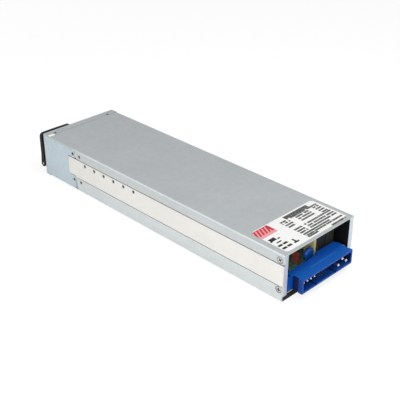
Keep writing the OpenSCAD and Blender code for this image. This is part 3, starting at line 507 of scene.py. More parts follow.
@dataclass(frozen=True)
class BoardFinish:
    """Green solder mask with lighter copper tracks under it and bare pads.

    Attributes:
        mask: sRGB colour of the mask over bare laminate.
        track: sRGB colour of the mask over copper.
        tin: sRGB colour of the bare pads.
        edge: sRGB colour of the cut laminate at the rear edge.
        edge_y: Where the cut edge starts, in millimetres along Y.
        track_scale: Scale of the pattern that the copper fields follow.
        track_gap: Width of the gaps between the copper fields, in that pattern.
        track_offset: How far a row of copper fields is shifted against the last.
        faint_copper: How far the faintest copper field goes towards the bare laminate's colour.
        pad_scale: Pads per metre.
        pad_radius: Radius of a pad, as a share of the pads' pitch.
        pad_scatter: How unevenly the pads lie.
        roughness: Roughness of the mask.
        pad_smooths: What a bare pad takes off the roughness.
        copper_height: How far copper stands under the mask.
    """

    mask: Triple = (104, 158, 132)
    track: Triple = (150, 196, 172)
    tin: Triple = (196, 196, 186)
    edge: Triple = (206, 210, 190)
    edge_y: float = 148.95
    track_scale: float = 130.0
    track_gap: float = 0.05
    track_offset: float = 0.35
    faint_copper: float = 0.35
    pad_scale: float = 330.0
    pad_radius: float = 0.17
    pad_scatter: float = 0.6
    roughness: float = 0.42
    pad_smooths: float = 0.1
    copper_height: float = 0.03

    def material(self, name: str) -> bpy.types.Material:
        """Builds the material.

        Args:
            name: The material's name.

        Returns:
            The material, ready to assign.
        """
        made, graph, shader = Graph.of_material(name)
        flat = graph.place((1.0, 1.0, 0.0))
        fields = graph.feed(graph.add("ShaderNodeTexBrick", offset=self.track_offset, squash=1.0),
                            Vector=flat, Scale=self.track_scale, Mortar_Size=self.track_gap,
                            Color1=grey(0.0), Color2=grey(self.faint_copper), Mortar=grey(1.0))
        colour = graph.blend(fields.outputs["Color"], linear(self.track), linear(self.mask))
        dots = graph.feed(graph.add("ShaderNodeTexVoronoi", feature="F1"), Vector=flat,
                          Scale=self.pad_scale, Randomness=self.pad_scatter)
        pad = graph.math("LESS_THAN", dots.outputs["Distance"], self.pad_radius)
        colour = graph.blend(pad, colour, linear(self.tin))
        cut = graph.math("GREATER_THAN", graph.axes()[1], self.edge_y * MM)
        graph.feed(shader, Base_Color=graph.blend(cut, colour, linear(self.edge)),
                   Roughness=graph.scaled(pad, -self.pad_smooths, self.roughness))
        graph.relief(shader, fields.outputs["Fac"], self.copper_height)
        return made


@dataclass(frozen=True)
class PrintedField:
    """One printed rectangle of the label, in millimetres.

    Attributes:
        x: Its two limits along X.
        y: Its two limits along Y.
        broken: True for rows that read as small print.
    """

    x: Pair
    y: Pair
    broken: bool = True

    def mask(self, graph: Graph) -> Socket:
        """Draws the field in a material and returns its mask."""
        return graph.use(SharedGroups.bar(), Left=self.x[0] * MM, Right=self.x[1] * MM, Low=self.y[0] * MM,
                         High=self.y[1] * MM, Broken=float(self.broken)).outputs["Mask"]


@dataclass(frozen=True)
class LabelFinish:
    """A white sticker with a red field, bold bars and rows of small print.

    Attributes:
        white: sRGB colour of the sheet.
        ink: sRGB colour of the bars and rows.
        red: sRGB colour of the red field.
        pale: sRGB colour of the field's rear strip and of its slanted stripes.
        red_x: The field's two limits along X, in millimetres.
        red_y: The field's two limits along Y.
        strip_y: Where the pale strip starts.
        stripe_pitch: Distance between two slanted stripes.
        stripe_slant: How far a stripe moves along X for each millimetre along Y, negated.
        stripe_share: Share of the pitch that is pale.
        stripe_margin: Width that stays red along the field's edges of lowest X and of lowest Y.
        block_x: Limits of the block of bold print along X.
        block_y: Its limits along Y.
        row_half: Half the height of a row of print.
        clouds: How much the sheet's unevenness changes its white.
        cloud_scale: Clouds per metre.
        fibre_scale: Paper fibres per metre.
        fibre_depth: Height of their relief.
        roughness: Least roughness.
        fibre_roughens: What the fibres add to it.
    """

    white: Triple = (246, 246, 244)
    ink: Triple = (24, 24, 28)
    red: Triple = (196, 44, 62)
    pale: Triple = (238, 160, 162)
    red_x: Pair = (18.4, 37.2)
    red_y: Pair = (111.6, 123.2)
    strip_y: float = 120.0
    stripe_pitch: float = 3.4
    stripe_slant: float = -0.46
    stripe_share: float = 0.45
    stripe_margin: Pair = (2.6, 0.9)
    block_x: Pair = (-27.5, 1.0)
    block_y: Pair = (112.5, 116.9)
    row_half: float = 0.95
    clouds: float = 0.05
    cloud_scale: float = 30.0
    fibre_scale: float = 2600.0
    fibre_depth: float = 0.006
    roughness: float = 0.36
    fibre_roughens: float = 0.1

    def _print(self) -> list[PrintedField]:
        """The bars and rows of print.

        Returns:
            Every printed rectangle: the bold block, the rows from front to rear, and the bold marks
            beside them.
        """
        columns = {"name": (0.0, 9.0), "value": (-22.5, -6.5), "end": (-35.0, -28.0),
                   "text": (-35.5, -3.0), "short": (-23.0, 9.0), "full": (-35.5, 9.0),
                   "stub": (-3.0, 9.0), "date": (-36.3, -17.5)}
        rows = {117.4: ("name", "text"), 119.9: ("name", "value", "end"), 122.9: ("name", "value", "end"),
                126.0: ("name", "value", "end"), 129.2: ("end",), 131.6: ("name", "text"),
                134.7: ("name", "text"), 137.6: ("name", "text"), 140.6: ("short",), 143.1: ("full",),
                145.2: ("stub",), 147.0: ("date",)}
        marks = [((x, x + 4.6), (y, y + 2.2)) for x in (31.0, 25.4) for y in (141.6, 137.2)]
        marks += [((17.4, 22.8), (142.3, 144.0)), ((19.4, 21.2), (138.6, 142.4)),
                  ((28.2, 34.6), (127.0, 130.9)), ((24.8, 27.4), (129.8, 131.2)),
                  ((33.6, 35.6), (130.0, 131.4)), ((27.4, 32.8), (133.6, 134.9))]
        return [PrintedField(self.block_x, self.block_y),
                *(PrintedField(columns[name], (y - self.row_half, y + self.row_half))
                  for y, names in rows.items() for name in names),
                *(PrintedField(x, y, broken=False) for x, y in marks)]

    def _pale_parts(self, graph: Graph) -> Socket:
        """The pale parts of the red field: a strip along its rear edge and slanted stripes before it.

        Args:
            graph: The material's graph.

        Returns:
            Their mask.
        """
        x, y = graph.axes()[0], graph.axes()[1]
        turns = graph.math("MULTIPLY", graph.scaled(y, self.stripe_slant, x), 1 / (self.stripe_pitch * MM))
        stripe = graph.math("LESS_THAN", graph.math("FRACT", turns), self.stripe_share)
        inner = graph.math("MULTIPLY",
                           graph.math("GREATER_THAN", x, (self.red_x[0] + self.stripe_margin[0]) * MM),
                           graph.math("GREATER_THAN", y, (self.red_y[0] + self.stripe_margin[1]) * MM))
        strip = graph.math("GREATER_THAN", y, self.strip_y * MM)
        return graph.math("MAXIMUM", strip, graph.math("MULTIPLY", stripe, inner))

    def material(self, name: str) -> bpy.types.Material:
        """Builds the material.

        Args:
            name: The material's name.

        Returns:
            The material, ready to assign.
        """
        made, graph, shader = Graph.of_material(name)
        inked: object = 0.0
        for field in self._print():
            inked = graph.math("MAXIMUM", field.mask(graph), inked)
        cloud = graph.use(SharedGroups.clouds(), Scale=self.cloud_scale).outputs["Value"]
        paper = SharedGroups.tinted(graph, linear(self.white), cloud, self.clouds)
        field = graph.blend(self._pale_parts(graph), linear(self.red), linear(self.pale))
        in_field = PrintedField(self.red_x, self.red_y, broken=False).mask(graph)
        colour = graph.blend(inked, graph.blend(in_field, paper, field), linear(self.ink))
        fibre = graph.use(SharedGroups.grain(), Scale=self.fibre_scale).outputs["Value"]
        graph.feed(shader, Base_Color=colour,
                   Roughness=graph.scaled(fibre, self.fibre_roughens, self.roughness))
        graph.relief(shader, fibre, self.fibre_depth)
        return made


class Paint:
    """The finish of each material slot and of each face that differs, made once and shared; many of the latter
    are lit or shaded copies of a slot's finish, painted light and shade.
    """

    # Painted shade along the joint of the top cover's flange and the side plate's band.
    UPPER_JOINT_SHADE = Seam(axis=2, place=32.25, half=0.62, share=0.72)
    # Painted shade along the top cover's front joint with the housing's lip.
    LIP_JOINT_SHADE = Seam(axis=1, place=-141.95, half=0.5, share=0.35)
    # Painted shade over the front part of the bends' highlight, where less light falls.
    SHADED_FRONT = Seam(axis=1, place=-142.0, half=62.0, share=0.30)
    FRONT_BEND = Seam(axis=1, place=-147.6, half=2.6, share=0.30, tone=0.62)
    ZINC = Finish((208, 213, 214), roughness=0.44, metallic=0.30, grain=Grain.ALONG_Y, grain_scale=900.0,
                  grain_depth=0.06, clouds=0.04, spangle=0.04, scuffs=0.12)
    CUT_METAL = Finish((201, 204, 220), metallic=0.1, grain=Grain.ALONG_X, grain_scale=1400.0, bump=0.012,
                       clouds=0.05)
    PLATING = Finish((226, 226, 224), roughness=0.30, metallic=0.75, grain_depth=0.08, clouds=0.08)
    BLUE = Finish((0, 80, 176), roughness=0.46, grain_scale=2000.0, bump=0.015, specular=0.35)
    BLACK = Finish((44, 44, 46), roughness=0.46, grain_scale=1800.0, grain_depth=0.2, bump=0.02)
    TABLE: dict[str, Finish | BoardFinish | LabelFinish] = {
        # The covers' top: a darker copy of the zinc than the flanges' lit copies, painted shade.
        "galvanised_cover": replace(ZINC, colour=(192, 197, 199), roughness=0.46, grain_depth=0.07,
                                    clouds=0.05, spangle=0.05, seams=(LIP_JOINT_SHADE,)),
        # A lighter lit copy of the zinc for the upper flanges and the covers' rear ends: painted light.
        "lit_flange_zinc": replace(ZINC, seams=(UPPER_JOINT_SHADE,)),
        # A lighter lit copy of the zinc for the lower flanges: painted light.
        "lit_lower_flange": replace(ZINC, colour=(221, 227, 227)),
        # Painted highlight along the covers' bends and on the housing's front corner, with painted shade
        # towards the front.
        "bend_highlight": replace(ZINC, colour=(236, 241, 242), roughness=0.34, seams=(SHADED_FRONT,)),
        "cut_edge": replace(ZINC, colour=(230, 232, 234), roughness=0.6, metallic=0.2, grain_depth=0.12,
                            clouds=0.1, spangle=0.0, scuffs=0.0),
        "galvanised_front": replace(ZINC, colour=(203, 217, 225), grain=Grain.ALONG_X, clouds=0.06,
                                    spangle=0.07, scuffs=0.10, seams=(FRONT_BEND,)),
        "inner_sheet": replace(ZINC, colour=(190, 193, 196), roughness=0.45, metallic=0.35,
                               grain=Grain.ALONG_X, clouds=0.06, spangle=0.06, scuffs=0.0),
        "joint_shadow": Finish((74, 76, 78), roughness=0.7, grain_scale=900.0),
        "side_plate_aluminium": Finish((243, 241, 236), roughness=0.40, metallic=0.30, grain=Grain.ALONG_Y,
                                       grain_scale=1400.0, grain_depth=0.06, bump=0.012, clouds=0.05,
                                       scuffs=0.10, seams=(UPPER_JOINT_SHADE,)),
        "plate_end": CUT_METAL,
        # A lighter lit copy of the plates' cut end, for the far plate: painted light.
        "lit_far_plate_end": replace(CUT_METAL, colour=(227, 237, 244)),
        "heatsink_metal": Finish((200, 203, 206), roughness=0.36, metallic=0.5, grain=Grain.ALONG_Y,
                                 grain_scale=1100.0, grain_depth=0.08, bump=0.012, clouds=0.06),
        "busbar_metal": Finish((205, 140, 96), roughness=0.32, metallic=0.8, grain=Grain.ALONG_Y,
                               grain_scale=1300.0, clouds=0.15),
        # The choke's wire, darkened far below copper's colour for the shade deep in the case: painted shade.
        "copper_wire": Finish((60, 60, 52), roughness=0.4, metallic=0.1, grain_scale=900.0, grain_depth=0.25,
                              clouds=0.2, coat=0.1, specular=0.4),
        "plated_steel": PLATING,
        "dark_screw": replace(PLATING, colour=(98, 97, 96), roughness=0.36, metallic=0.7, grain_depth=0.12,
                              clouds=0.10),
        "contact_metal": replace(PLATING, colour=(232, 230, 222), roughness=0.24, grain=Grain.ALONG_Y,
                                 grain_depth=0.06, bump=0.006, clouds=0.05),
        # Painted glint on the power pins' tips.
        "contact_tip": replace(PLATING, colour=(253, 253, 252), metallic=0.2, grain_depth=0.04, bump=0.004,
                               clouds=0.03),
        # Painted shade on the pins' shanks inside the shroud.
        "shaded_contact": replace(PLATING, colour=(70, 84, 116), roughness=0.5, metallic=0.3, grain_depth=0.06,
                                bump=0.006, clouds=0.05),
        "fuse_metal": replace(PLATING, colour=(222, 220, 208), roughness=0.28, metallic=0.6,
                              grain_scale=1300.0, grain_depth=0.06, bump=0.008, clouds=0.06),
        "blue_plastic": BLUE,
        # A lighter lit copy of the blue for the shroud's top: painted light.
        "blue_lit_top": replace(BLUE, colour=(6, 88, 178)),
        "blue_shade": replace(BLUE, colour=(8, 62, 138), specular=0.3),
        # A dark copy of the blue for the shroud's recessed inner walls: painted shade.
        "blue_deep_shade": replace(BLUE, colour=(4, 28, 78), roughness=0.5, specular=0.2),
        # A lighter, streaked copy of the blue for the rib on top: painted highlight.
        "blue_rib_highlight": replace(BLUE, colour=(40, 112, 190), roughness=0.5, grain=Grain.ALONG_X,
                             grain_depth=0.30, clouds=0.20),
        "dark_case": BLACK,
        "black_plastic": replace(BLACK, colour=(15, 15, 17), roughness=0.48, grain_scale=2600.0,
                                 grain_depth=0.25, bump=0.03, scuffs=0.06, specular=0.35),
        "fan_plastic": replace(BLACK, colour=(38, 38, 40), roughness=0.42, grain_scale=2200.0, clouds=0.08),
        "ferrite": replace(BLACK, colour=(62, 66, 62), roughness=0.66, grain_scale=1500.0, bump=0.04,
                           clouds=0.15),
        # White plastic on the latch tooth's top, which also stands for the light on it: partly painted
        # highlight.
        "white_and_lit_latch_top": Finish((252, 252, 250), roughness=0.4, grain_depth=0.03, bump=0.006, clouds=0.03),
        "yellow_case": Finish((244, 232, 168), roughness=0.38, grain_scale=1200.0, grain_depth=0.08,
                              bump=0.015),
        "red_case": Finish((252, 116, 104), roughness=0.34, grain_scale=1200.0, grain_depth=0.12, bump=0.015,
                           coat=0.3),
        "blue_epoxy": Finish((20, 90, 186), roughness=0.26, grain_scale=700.0, bump=0.03, clouds=0.12,
                             coat=0.5),
        "capacitor_can": Finish((46, 46, 54), roughness=0.32, grain_scale=900.0, coat=0.3),
        "pad_grey": Finish((190, 190, 194), roughness=0.7, grain_depth=0.06, bump=0.02, clouds=0.06),
        "lens": Finish((150, 214, 150), roughness=0.18, grain_scale=600.0, grain_depth=0.04, bump=0.004,
                       clouds=0.05, coat=0.6),
        "lead_red": Finish((176, 40, 36), roughness=0.42, grain_scale=1300.0, grain_depth=0.08, bump=0.012,
                           clouds=0.08),
        "board_green": BoardFinish(),
        "label_white": LabelFinish(),
    }
    _made: dict[str, bpy.types.Material] = {}

    @classmethod
    def of(cls, slot: str) -> bpy.types.Material:
        """The material of a slot, built the first time it is asked for."""
        if slot not in cls._made:
            cls._made[slot] = cls.TABLE[slot].material(slot)
        return cls._made[slot]


# ------------------------------------------------------------------ workbench

SQUARE = 0.9     # a face is square to an axis if more of its normal than this lies along it
FACING = 0.7     # a face looks along an axis if more of its normal than this lies along it
LEANING = 0.25   # a face leans to an axis if more of its normal than this lies along it
WELD = 0.002     # corners of a node's triangles that are closer than this are one, in millimetres


def islands(items: Sequence, near: Callable[[object], set]) -> list[list]:
    """Groups the parts of a mesh that hang together.

    Args:
        items: All of its vertices or faces.
        near: Gives the neighbours of one of them.

    Returns:
        The groups.
    """
    groups, left = [], set(items)
    while left:
        border, group = [left.pop()], []
        while border:
            group.append(border.pop())
            found = near(group[-1]) & left
            left -= found
            border += found
        groups.append(group)
    return groups


class Bench:
    """Modelling by hand operations, on one object at a time."""

    @staticmethod
    def take(item: Piece | None = None) -> None:
        """Leaves edit mode, deselects everything and selects one object if given.

        Args:
            item: The object to work on next.
        """
        if bpy.context.object and bpy.context.object.mode != "OBJECT":
            bpy.ops.object.mode_set(mode="OBJECT")
        bpy.ops.object.select_all(action="DESELECT")
        if item is not None:
            item.select_set(True)
            bpy.context.view_layer.objects.active = item

    @staticmethod
    def settle(name: str) -> Piece:
        """Names the primitive that was just added and puts its place into its mesh.

        Args:
            name: The object's name.

        Returns:
            The object.
        """
        item = bpy.context.object
        item.name = name
        Bench.take(item)
        bpy.ops.object.transform_apply(location=True, rotation=True, scale=True)
        return item

    @staticmethod
    def block(name: str, low: Triple, high: Triple) -> Piece:
        """Adds a box.

        Args:
            name: The object's name.
            low: Its lowest corner, in millimetres.
            high: Its highest corner.

        Returns:
            The box.
        """
        Bench.take()
        centre = [(a + b) / 2 * MM for a, b in zip(low, high)]
        size = [(b - a) * MM for a, b in zip(low, high)]
        bpy.ops.mesh.primitive_cube_add(size=1.0, location=centre, scale=size)
        return Bench.settle(name)

    @staticmethod
    def rod(name: str, radius: float, low: float, high: float, sides: int) -> Piece:
        """Adds an upright cylinder on the Z axis.

        Args:
            name: The object's name.
            radius: Its radius, in millimetres.
            low: Height of its foot.
            high: Height of its top.
            sides: Number of faces round it.

        Returns:
            The cylinder.
        """
        Bench.take()
        bpy.ops.mesh.primitive_cylinder_add(vertices=sides, radius=radius * MM, depth=(high - low) * MM,
                                            location=(0, 0, (low + high) / 2 * MM))
        return Bench.settle(name)

    @staticmethod
    def pick(item: Piece, test: Callable[[bmesh.types.BMFace], bool]) -> None:
        """Enters edit mode with only some faces selected.

        Args:
            item: The object.
            test: Says of a face whether it is selected.
        """
        Bench.take(item)
        bpy.ops.object.mode_set(mode="EDIT")
        bpy.ops.mesh.select_mode(type="FACE")
        bpy.ops.mesh.select_all(action="DESELECT")
        mesh = bmesh.from_edit_mesh(item.data)
        for face in mesh.faces:
            face.select_set(test(face))
        bmesh.update_edit_mesh(item.data)

    @staticmethod
    def modify(item: Piece, kind: str, **settings: object) -> None:
        """Adds a modifier and applies it.

        Args:
            item: The object.
            kind: The modifier's type name.
            settings: Properties to set on it.
        """
        Bench.take(item)
        modifier = item.modifiers.new(kind.title(), kind)
        for key, value in settings.items():
            setattr(modifier, key, value)
        bpy.ops.object.modifier_apply(modifier=modifier.name)

    @staticmethod
    def bevel(item: Piece, width: float, segments: int, angle: float) -> None:
        """Breaks the sharp edges and smooths the rest.

        Args:
            item: The object.
            width: Width of the broken edges, in millimetres.
            segments: Steps across each of them.
            angle: Edges sharper than this, in degrees, are broken.
        """
        Bench.modify(item, "BEVEL", width=width * MM, segments=segments, limit_method="ANGLE",
                     angle_limit=math.radians(angle), harden_normals=False, miter_outer="MITER_ARC")
        Bench.smooth(item)

    @staticmethod
    def smooth(item: Piece, angle: float = 32.0) -> None:
        """Shades smooth; wide flat faces keep their own normal.

        Args:
            item: The object.
            angle: Edges sharper than this, in degrees, stay sharp.
        """
        Bench.take(item)
        bpy.ops.object.shade_smooth_by_angle(angle=math.radians(angle))
        Bench.modify(item, "WEIGHTED_NORMAL", mode="FACE_AREA", weight=100, keep_sharp=True)

    @staticmethod
    def cut(item: Piece, tool: Piece) -> None:
        """Subtracts a tool from the item and removes the tool."""
        Bench.modify(item, "BOOLEAN", operation="DIFFERENCE", object=tool, solver="EXACT")
        bpy.data.objects.remove(tool)

    @staticmethod
    def repaint(item: Piece, slot: str, test: FaceTest) -> None:
        """Gives another finish to some of a piece's faces.

        Args:
            item: The piece, already dressed.
            slot: The finish's name in the paint table.
            test: Says of a face whether it takes the finish.
        """
        item.data.materials.append(Paint.of(slot))
        index = len(item.data.materials) - 1
        for face in item.data.polygons:
            if test(face):
                face.material_index = index

    @staticmethod
    def copy(item: Piece, name: str, place: Matrix) -> Piece:
        """Copies an object with its own mesh.

        Args:
            item: The object.
            name: The copy's name.
            place: Where the copy's mesh is moved and how it is turned.

        Returns:
            The copy.
        """
        twin = item.copy()
        twin.data = item.data.copy()
        twin.name = name
        bpy.context.scene.collection.objects.link(twin)
        twin.data.transform(place)
        return twin

    @staticmethod
    def join(items: Sequence[Piece], name: str) -> Piece:
        """Joins objects into one.

        Args:
            items: The objects; the first one's materials come first.
            name: The joined object's name.

        Returns:
            The joined object.
        """
        Bench.take(items[0])
        for item in items:
            item.select_set(True)
        if len(items) > 1:
            bpy.ops.object.join()
        made = bpy.context.object
        made.name = name
        return made

    @staticmethod
    def finish(item: Piece, body: str, slot: str, *stands_for: str, keep_materials: bool = False) -> None:
        """Dresses a piece, puts it on a body and lets it stand for CAD nodes.

        Args:
            item: The finished piece.
            body: The CAD body it rides on.
            slot: The record's material slot.
            stands_for: CAD nodes it replaces.
            keep_materials: True if the piece already has its materials.
        """
        if not keep_materials:
            item.data.materials.clear()
            item.data.materials.append(Paint.of(slot))
        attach(item, body)
        if stands_for:
            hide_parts(*stands_for)
        LOG.info("piece %s rides on %s (%d faces)", item.name, body, len(item.data.polygons))


class CadNodes:
    """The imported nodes: which body and slot each has, and copies with clean edges."""

    def __init__(self) -> None:
        """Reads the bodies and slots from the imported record."""
        record = frame["record"]
        self.body = {node: body for body, nodes in record["behaviour"]["bodies"].items() for node in nodes}
        self.slot = {entry["node"]: entry["material_slot"] for entry in record["subparts"]}

    def dress(self) -> None:
        """Gives every node the finish of its slot."""
        for name, item in frame["nodes"].items():
            item.data.materials.clear()
            item.data.materials.append(Paint.of(self.slot[name]))

    @staticmethod
    def solids(name: str) -> list[tuple[Vector, Vector]]:
        """Finds the box of each separate solid of a node.

        Args:
            name: The CAD node.

        Returns:
            Low and high corner of each solid, in millimetres, sorted by place.
        """
        mesh = bmesh.new()
        mesh.from_mesh(frame["nodes"][name].data)
        bmesh.ops.remove_doubles(mesh, verts=mesh.verts, dist=WELD * MM)
        groups = islands(mesh.verts, lambda vertex: {edge.other_vert(vertex) for edge in vertex.link_edges})
        boxes = []
        for group in groups:
            corners = [vertex.co / MM for vertex in group]
            boxes.append((Vector(map(min, zip(*corners))), Vector(map(max, zip(*corners)))))
        mesh.free()
        return sorted(boxes, key=lambda box: tuple(box[0]))

    def refine(self, name: str, width: float, segments: int = 2, angle: float = 35.0,
               flatten: bool = True) -> Piece:
        """Stands a merged copy with broken edges in for a node.

        Args:
            name: The CAD node.
            width: Width of the broken edges, in millimetres; 0 leaves them sharp.
            segments: Steps across each broken edge.
            angle: Edges sharper than this, in degrees, are broken.
            flatten: Whether triangles in one plane are joined; a face with many holes keeps its triangles.

        Returns:
            The new piece.
        """
        twin = Bench.copy(frame["nodes"][name], f"{name}_finished", Matrix.Identity(4))
        twin.parent = None
        for key in [key for key in twin.keys() if key.startswith("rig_")]:
            del twin[key]
        Bench.take(twin)
        bpy.ops.object.mode_set(mode="EDIT")
        bpy.ops.mesh.select_all(action="SELECT")
        bpy.ops.mesh.remove_doubles(threshold=WELD * MM)
        if flatten:
            bpy.ops.mesh.dissolve_limited(angle_limit=math.radians(0.5))
        bpy.ops.object.mode_set(mode="OBJECT")
        if width:
            Bench.bevel(twin, width, segments, angle)
        else:
            Bench.smooth(twin)
        Bench.finish(twin, self.body[name], self.slot[name], name)
        return twin


# -------------------------------------------------------------------- pieces


@dataclass
class CaseShell:
    """Covers, side plates and front housing, with the edges of cut sheet.

    Attributes:
        nodes: The CAD nodes.
        sheet_edge: Break of the sheet's edges.
        plate_edge: Break of the side plates' edges.
        band_depth: Depth from a side plate's raised band down to its steps' feet.
        cut_depth: How far down the bottom cover's rim counts as its cut edge.
        cut_width: How far inwards it does.
        end_turn: Part of a normal along Y from which a face is a rear end.
        bend_skew: Part of a normal along Y up to which a leaning face is one of a cover's bends.
        step_turn: Part of a normal along Z from which a side plate's face is one of its steps.
        step_skew: Part of such a face's normal along Y up to which it is.
        top_turn: Part of a normal along Z from which the housing's face is its top, which takes the covers'
            darker top copy as painted shade.
        housing_bend: Part of a normal along X and along Y from which the housing's front corner takes the
            painted highlight.
    """

    nodes: CadNodes
    sheet_edge: float = 0.16
    plate_edge: float = 0.22
    band_depth: float = 1.5
    cut_depth: float = 0.2
    cut_width: float = 2.0
    end_turn: float = 0.6
    bend_skew: float = 0.1
    step_turn: float = 0.3
    step_skew: float = 0.5
    top_turn: float = 0.8
    housing_bend: float = 0.15

    def _cover(self, name: str, flange: str) -> Piece:
        """Refines a cover, paints light into its flanges and rear ends and a highlight onto its bends.

        Args:
            name: The cover's node.
            flange: Lit copy of the zinc for its flanges, painted light.

        Returns:
            The cover.
        """
        cover = self.nodes.refine(name, self.sheet_edge)
        Bench.repaint(cover, flange, lambda face: abs(face.normal.x) > SQUARE)
        Bench.repaint(cover, "lit_flange_zinc", lambda face: face.normal.y > self.end_turn)
        Bench.repaint(cover, "bend_highlight", lambda face: LEANING < abs(face.normal.x) <= SQUARE
                      and abs(face.normal.y) < self.bend_skew)
        return cover

    def _side_plate(self, name: str, end: str) -> None:
        """Refines a side plate, shades its steps and paints its rear end.

        Args:
            name: The plate's node.
            end: Finish of its rear end.
        """
        plate = self.nodes.refine(name, self.plate_edge)
        band_x = max(abs(corner.x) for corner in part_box(name))
        Bench.repaint(plate, "joint_shadow", lambda face: abs(face.center.x) > band_x - self.band_depth * MM
                      and abs(face.normal.z) > self.step_turn and abs(face.normal.y) < self.step_skew)
        Bench.repaint(plate, end, lambda face: face.normal.y > self.end_turn)

    def build(self) -> None:
        """Refines the shell's nodes and paints the faces that differ."""
        self._cover("top_cover", "lit_flange_zinc")
        bottom = self._cover("bottom_cover", "lit_lower_flange")
        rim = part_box("bottom_cover")[1]
        Bench.repaint(bottom, "cut_edge", lambda face: face.normal.z > SQUARE
                      and face.center.z > rim.z - self.cut_depth * MM
                      and abs(face.center.x) > rim.x - self.cut_width * MM)
        self._side_plate("right_side_plate", "plate_end")
        # The far plate's rear end takes the lighter lit copy: painted light.
        self._side_plate("left_side_plate", "lit_far_plate_end")
        housing = self.nodes.refine("front_housing", 0.0, flatten=False)
        # The housing's top takes the covers' darker top copy, painted shade, and its front corner the painted
        # highlight.
        Bench.repaint(housing, "galvanised_cover", lambda face: face.normal.z > self.top_turn)
        Bench.repaint(housing, "bend_highlight", lambda face: face.normal.x > self.housing_bend
                      and face.normal.y < -self.housing_bend)


@dataclass(frozen=True)
class HeadForm:
    """The form that all the screws' heads share: shares of the head's radius, unless said otherwise.

    Attributes:
        sides: Number of faces round the head.
        flat: Inset of the flat top, as a share of the crown's radius.
        brow: Share of the crown's radius past which the top falls away.
        edge: Width of the broken edge, as a share of the head's height.
        widest_edge: Its greatest width, in millimetres.
        edge_angle: Edges sharper than this, in degrees, are broken.
        depth: Greatest depth of the recess.
        depth_of_head: Greatest depth of the recess, as a share of the head's height.
        arm: Half the length of the cross's arms.
        arm_width: Half their width.
        hub: Radius of the cross's middle.
        hub_sides: Number of faces round it.
        hub_depth: Its depth, as a share of the recess's.
        hub_taper: Share of its radius that is left at its foot.
        shade: Share of the crown's radius within which the recess is dark.
        shade_from: Depth under the top at which the dark starts, in millimetres.
        shade_to: Depth at which it ends, as a share of the recess's.
        rim_depth: How far the sunk rim lies under the top, as a share of the rim's width.
        shank_sides: Number of faces round the shank.
        shank_lap: How far the shank reaches into the head, in millimetres.
    """

    sides: int = 40
    flat: float = 0.25
    brow: float = 0.9
    edge: float = 0.2
    widest_edge: float = 0.12
    edge_angle: float = 50.0
    depth: float = 0.6
    depth_of_head: float = 0.75
    arm: float = 0.62
    arm_width: float = 0.17
    hub: float = 0.3
    hub_sides: int = 16
    hub_depth: float = 1.1
    hub_taper: float = 0.4
    shade: float = 0.72
    shade_from: float = 0.08
    shade_to: float = 1.2
    rim_depth: float = 0.6
    shank_sides: int = 24
    shank_lap: float = 0.05


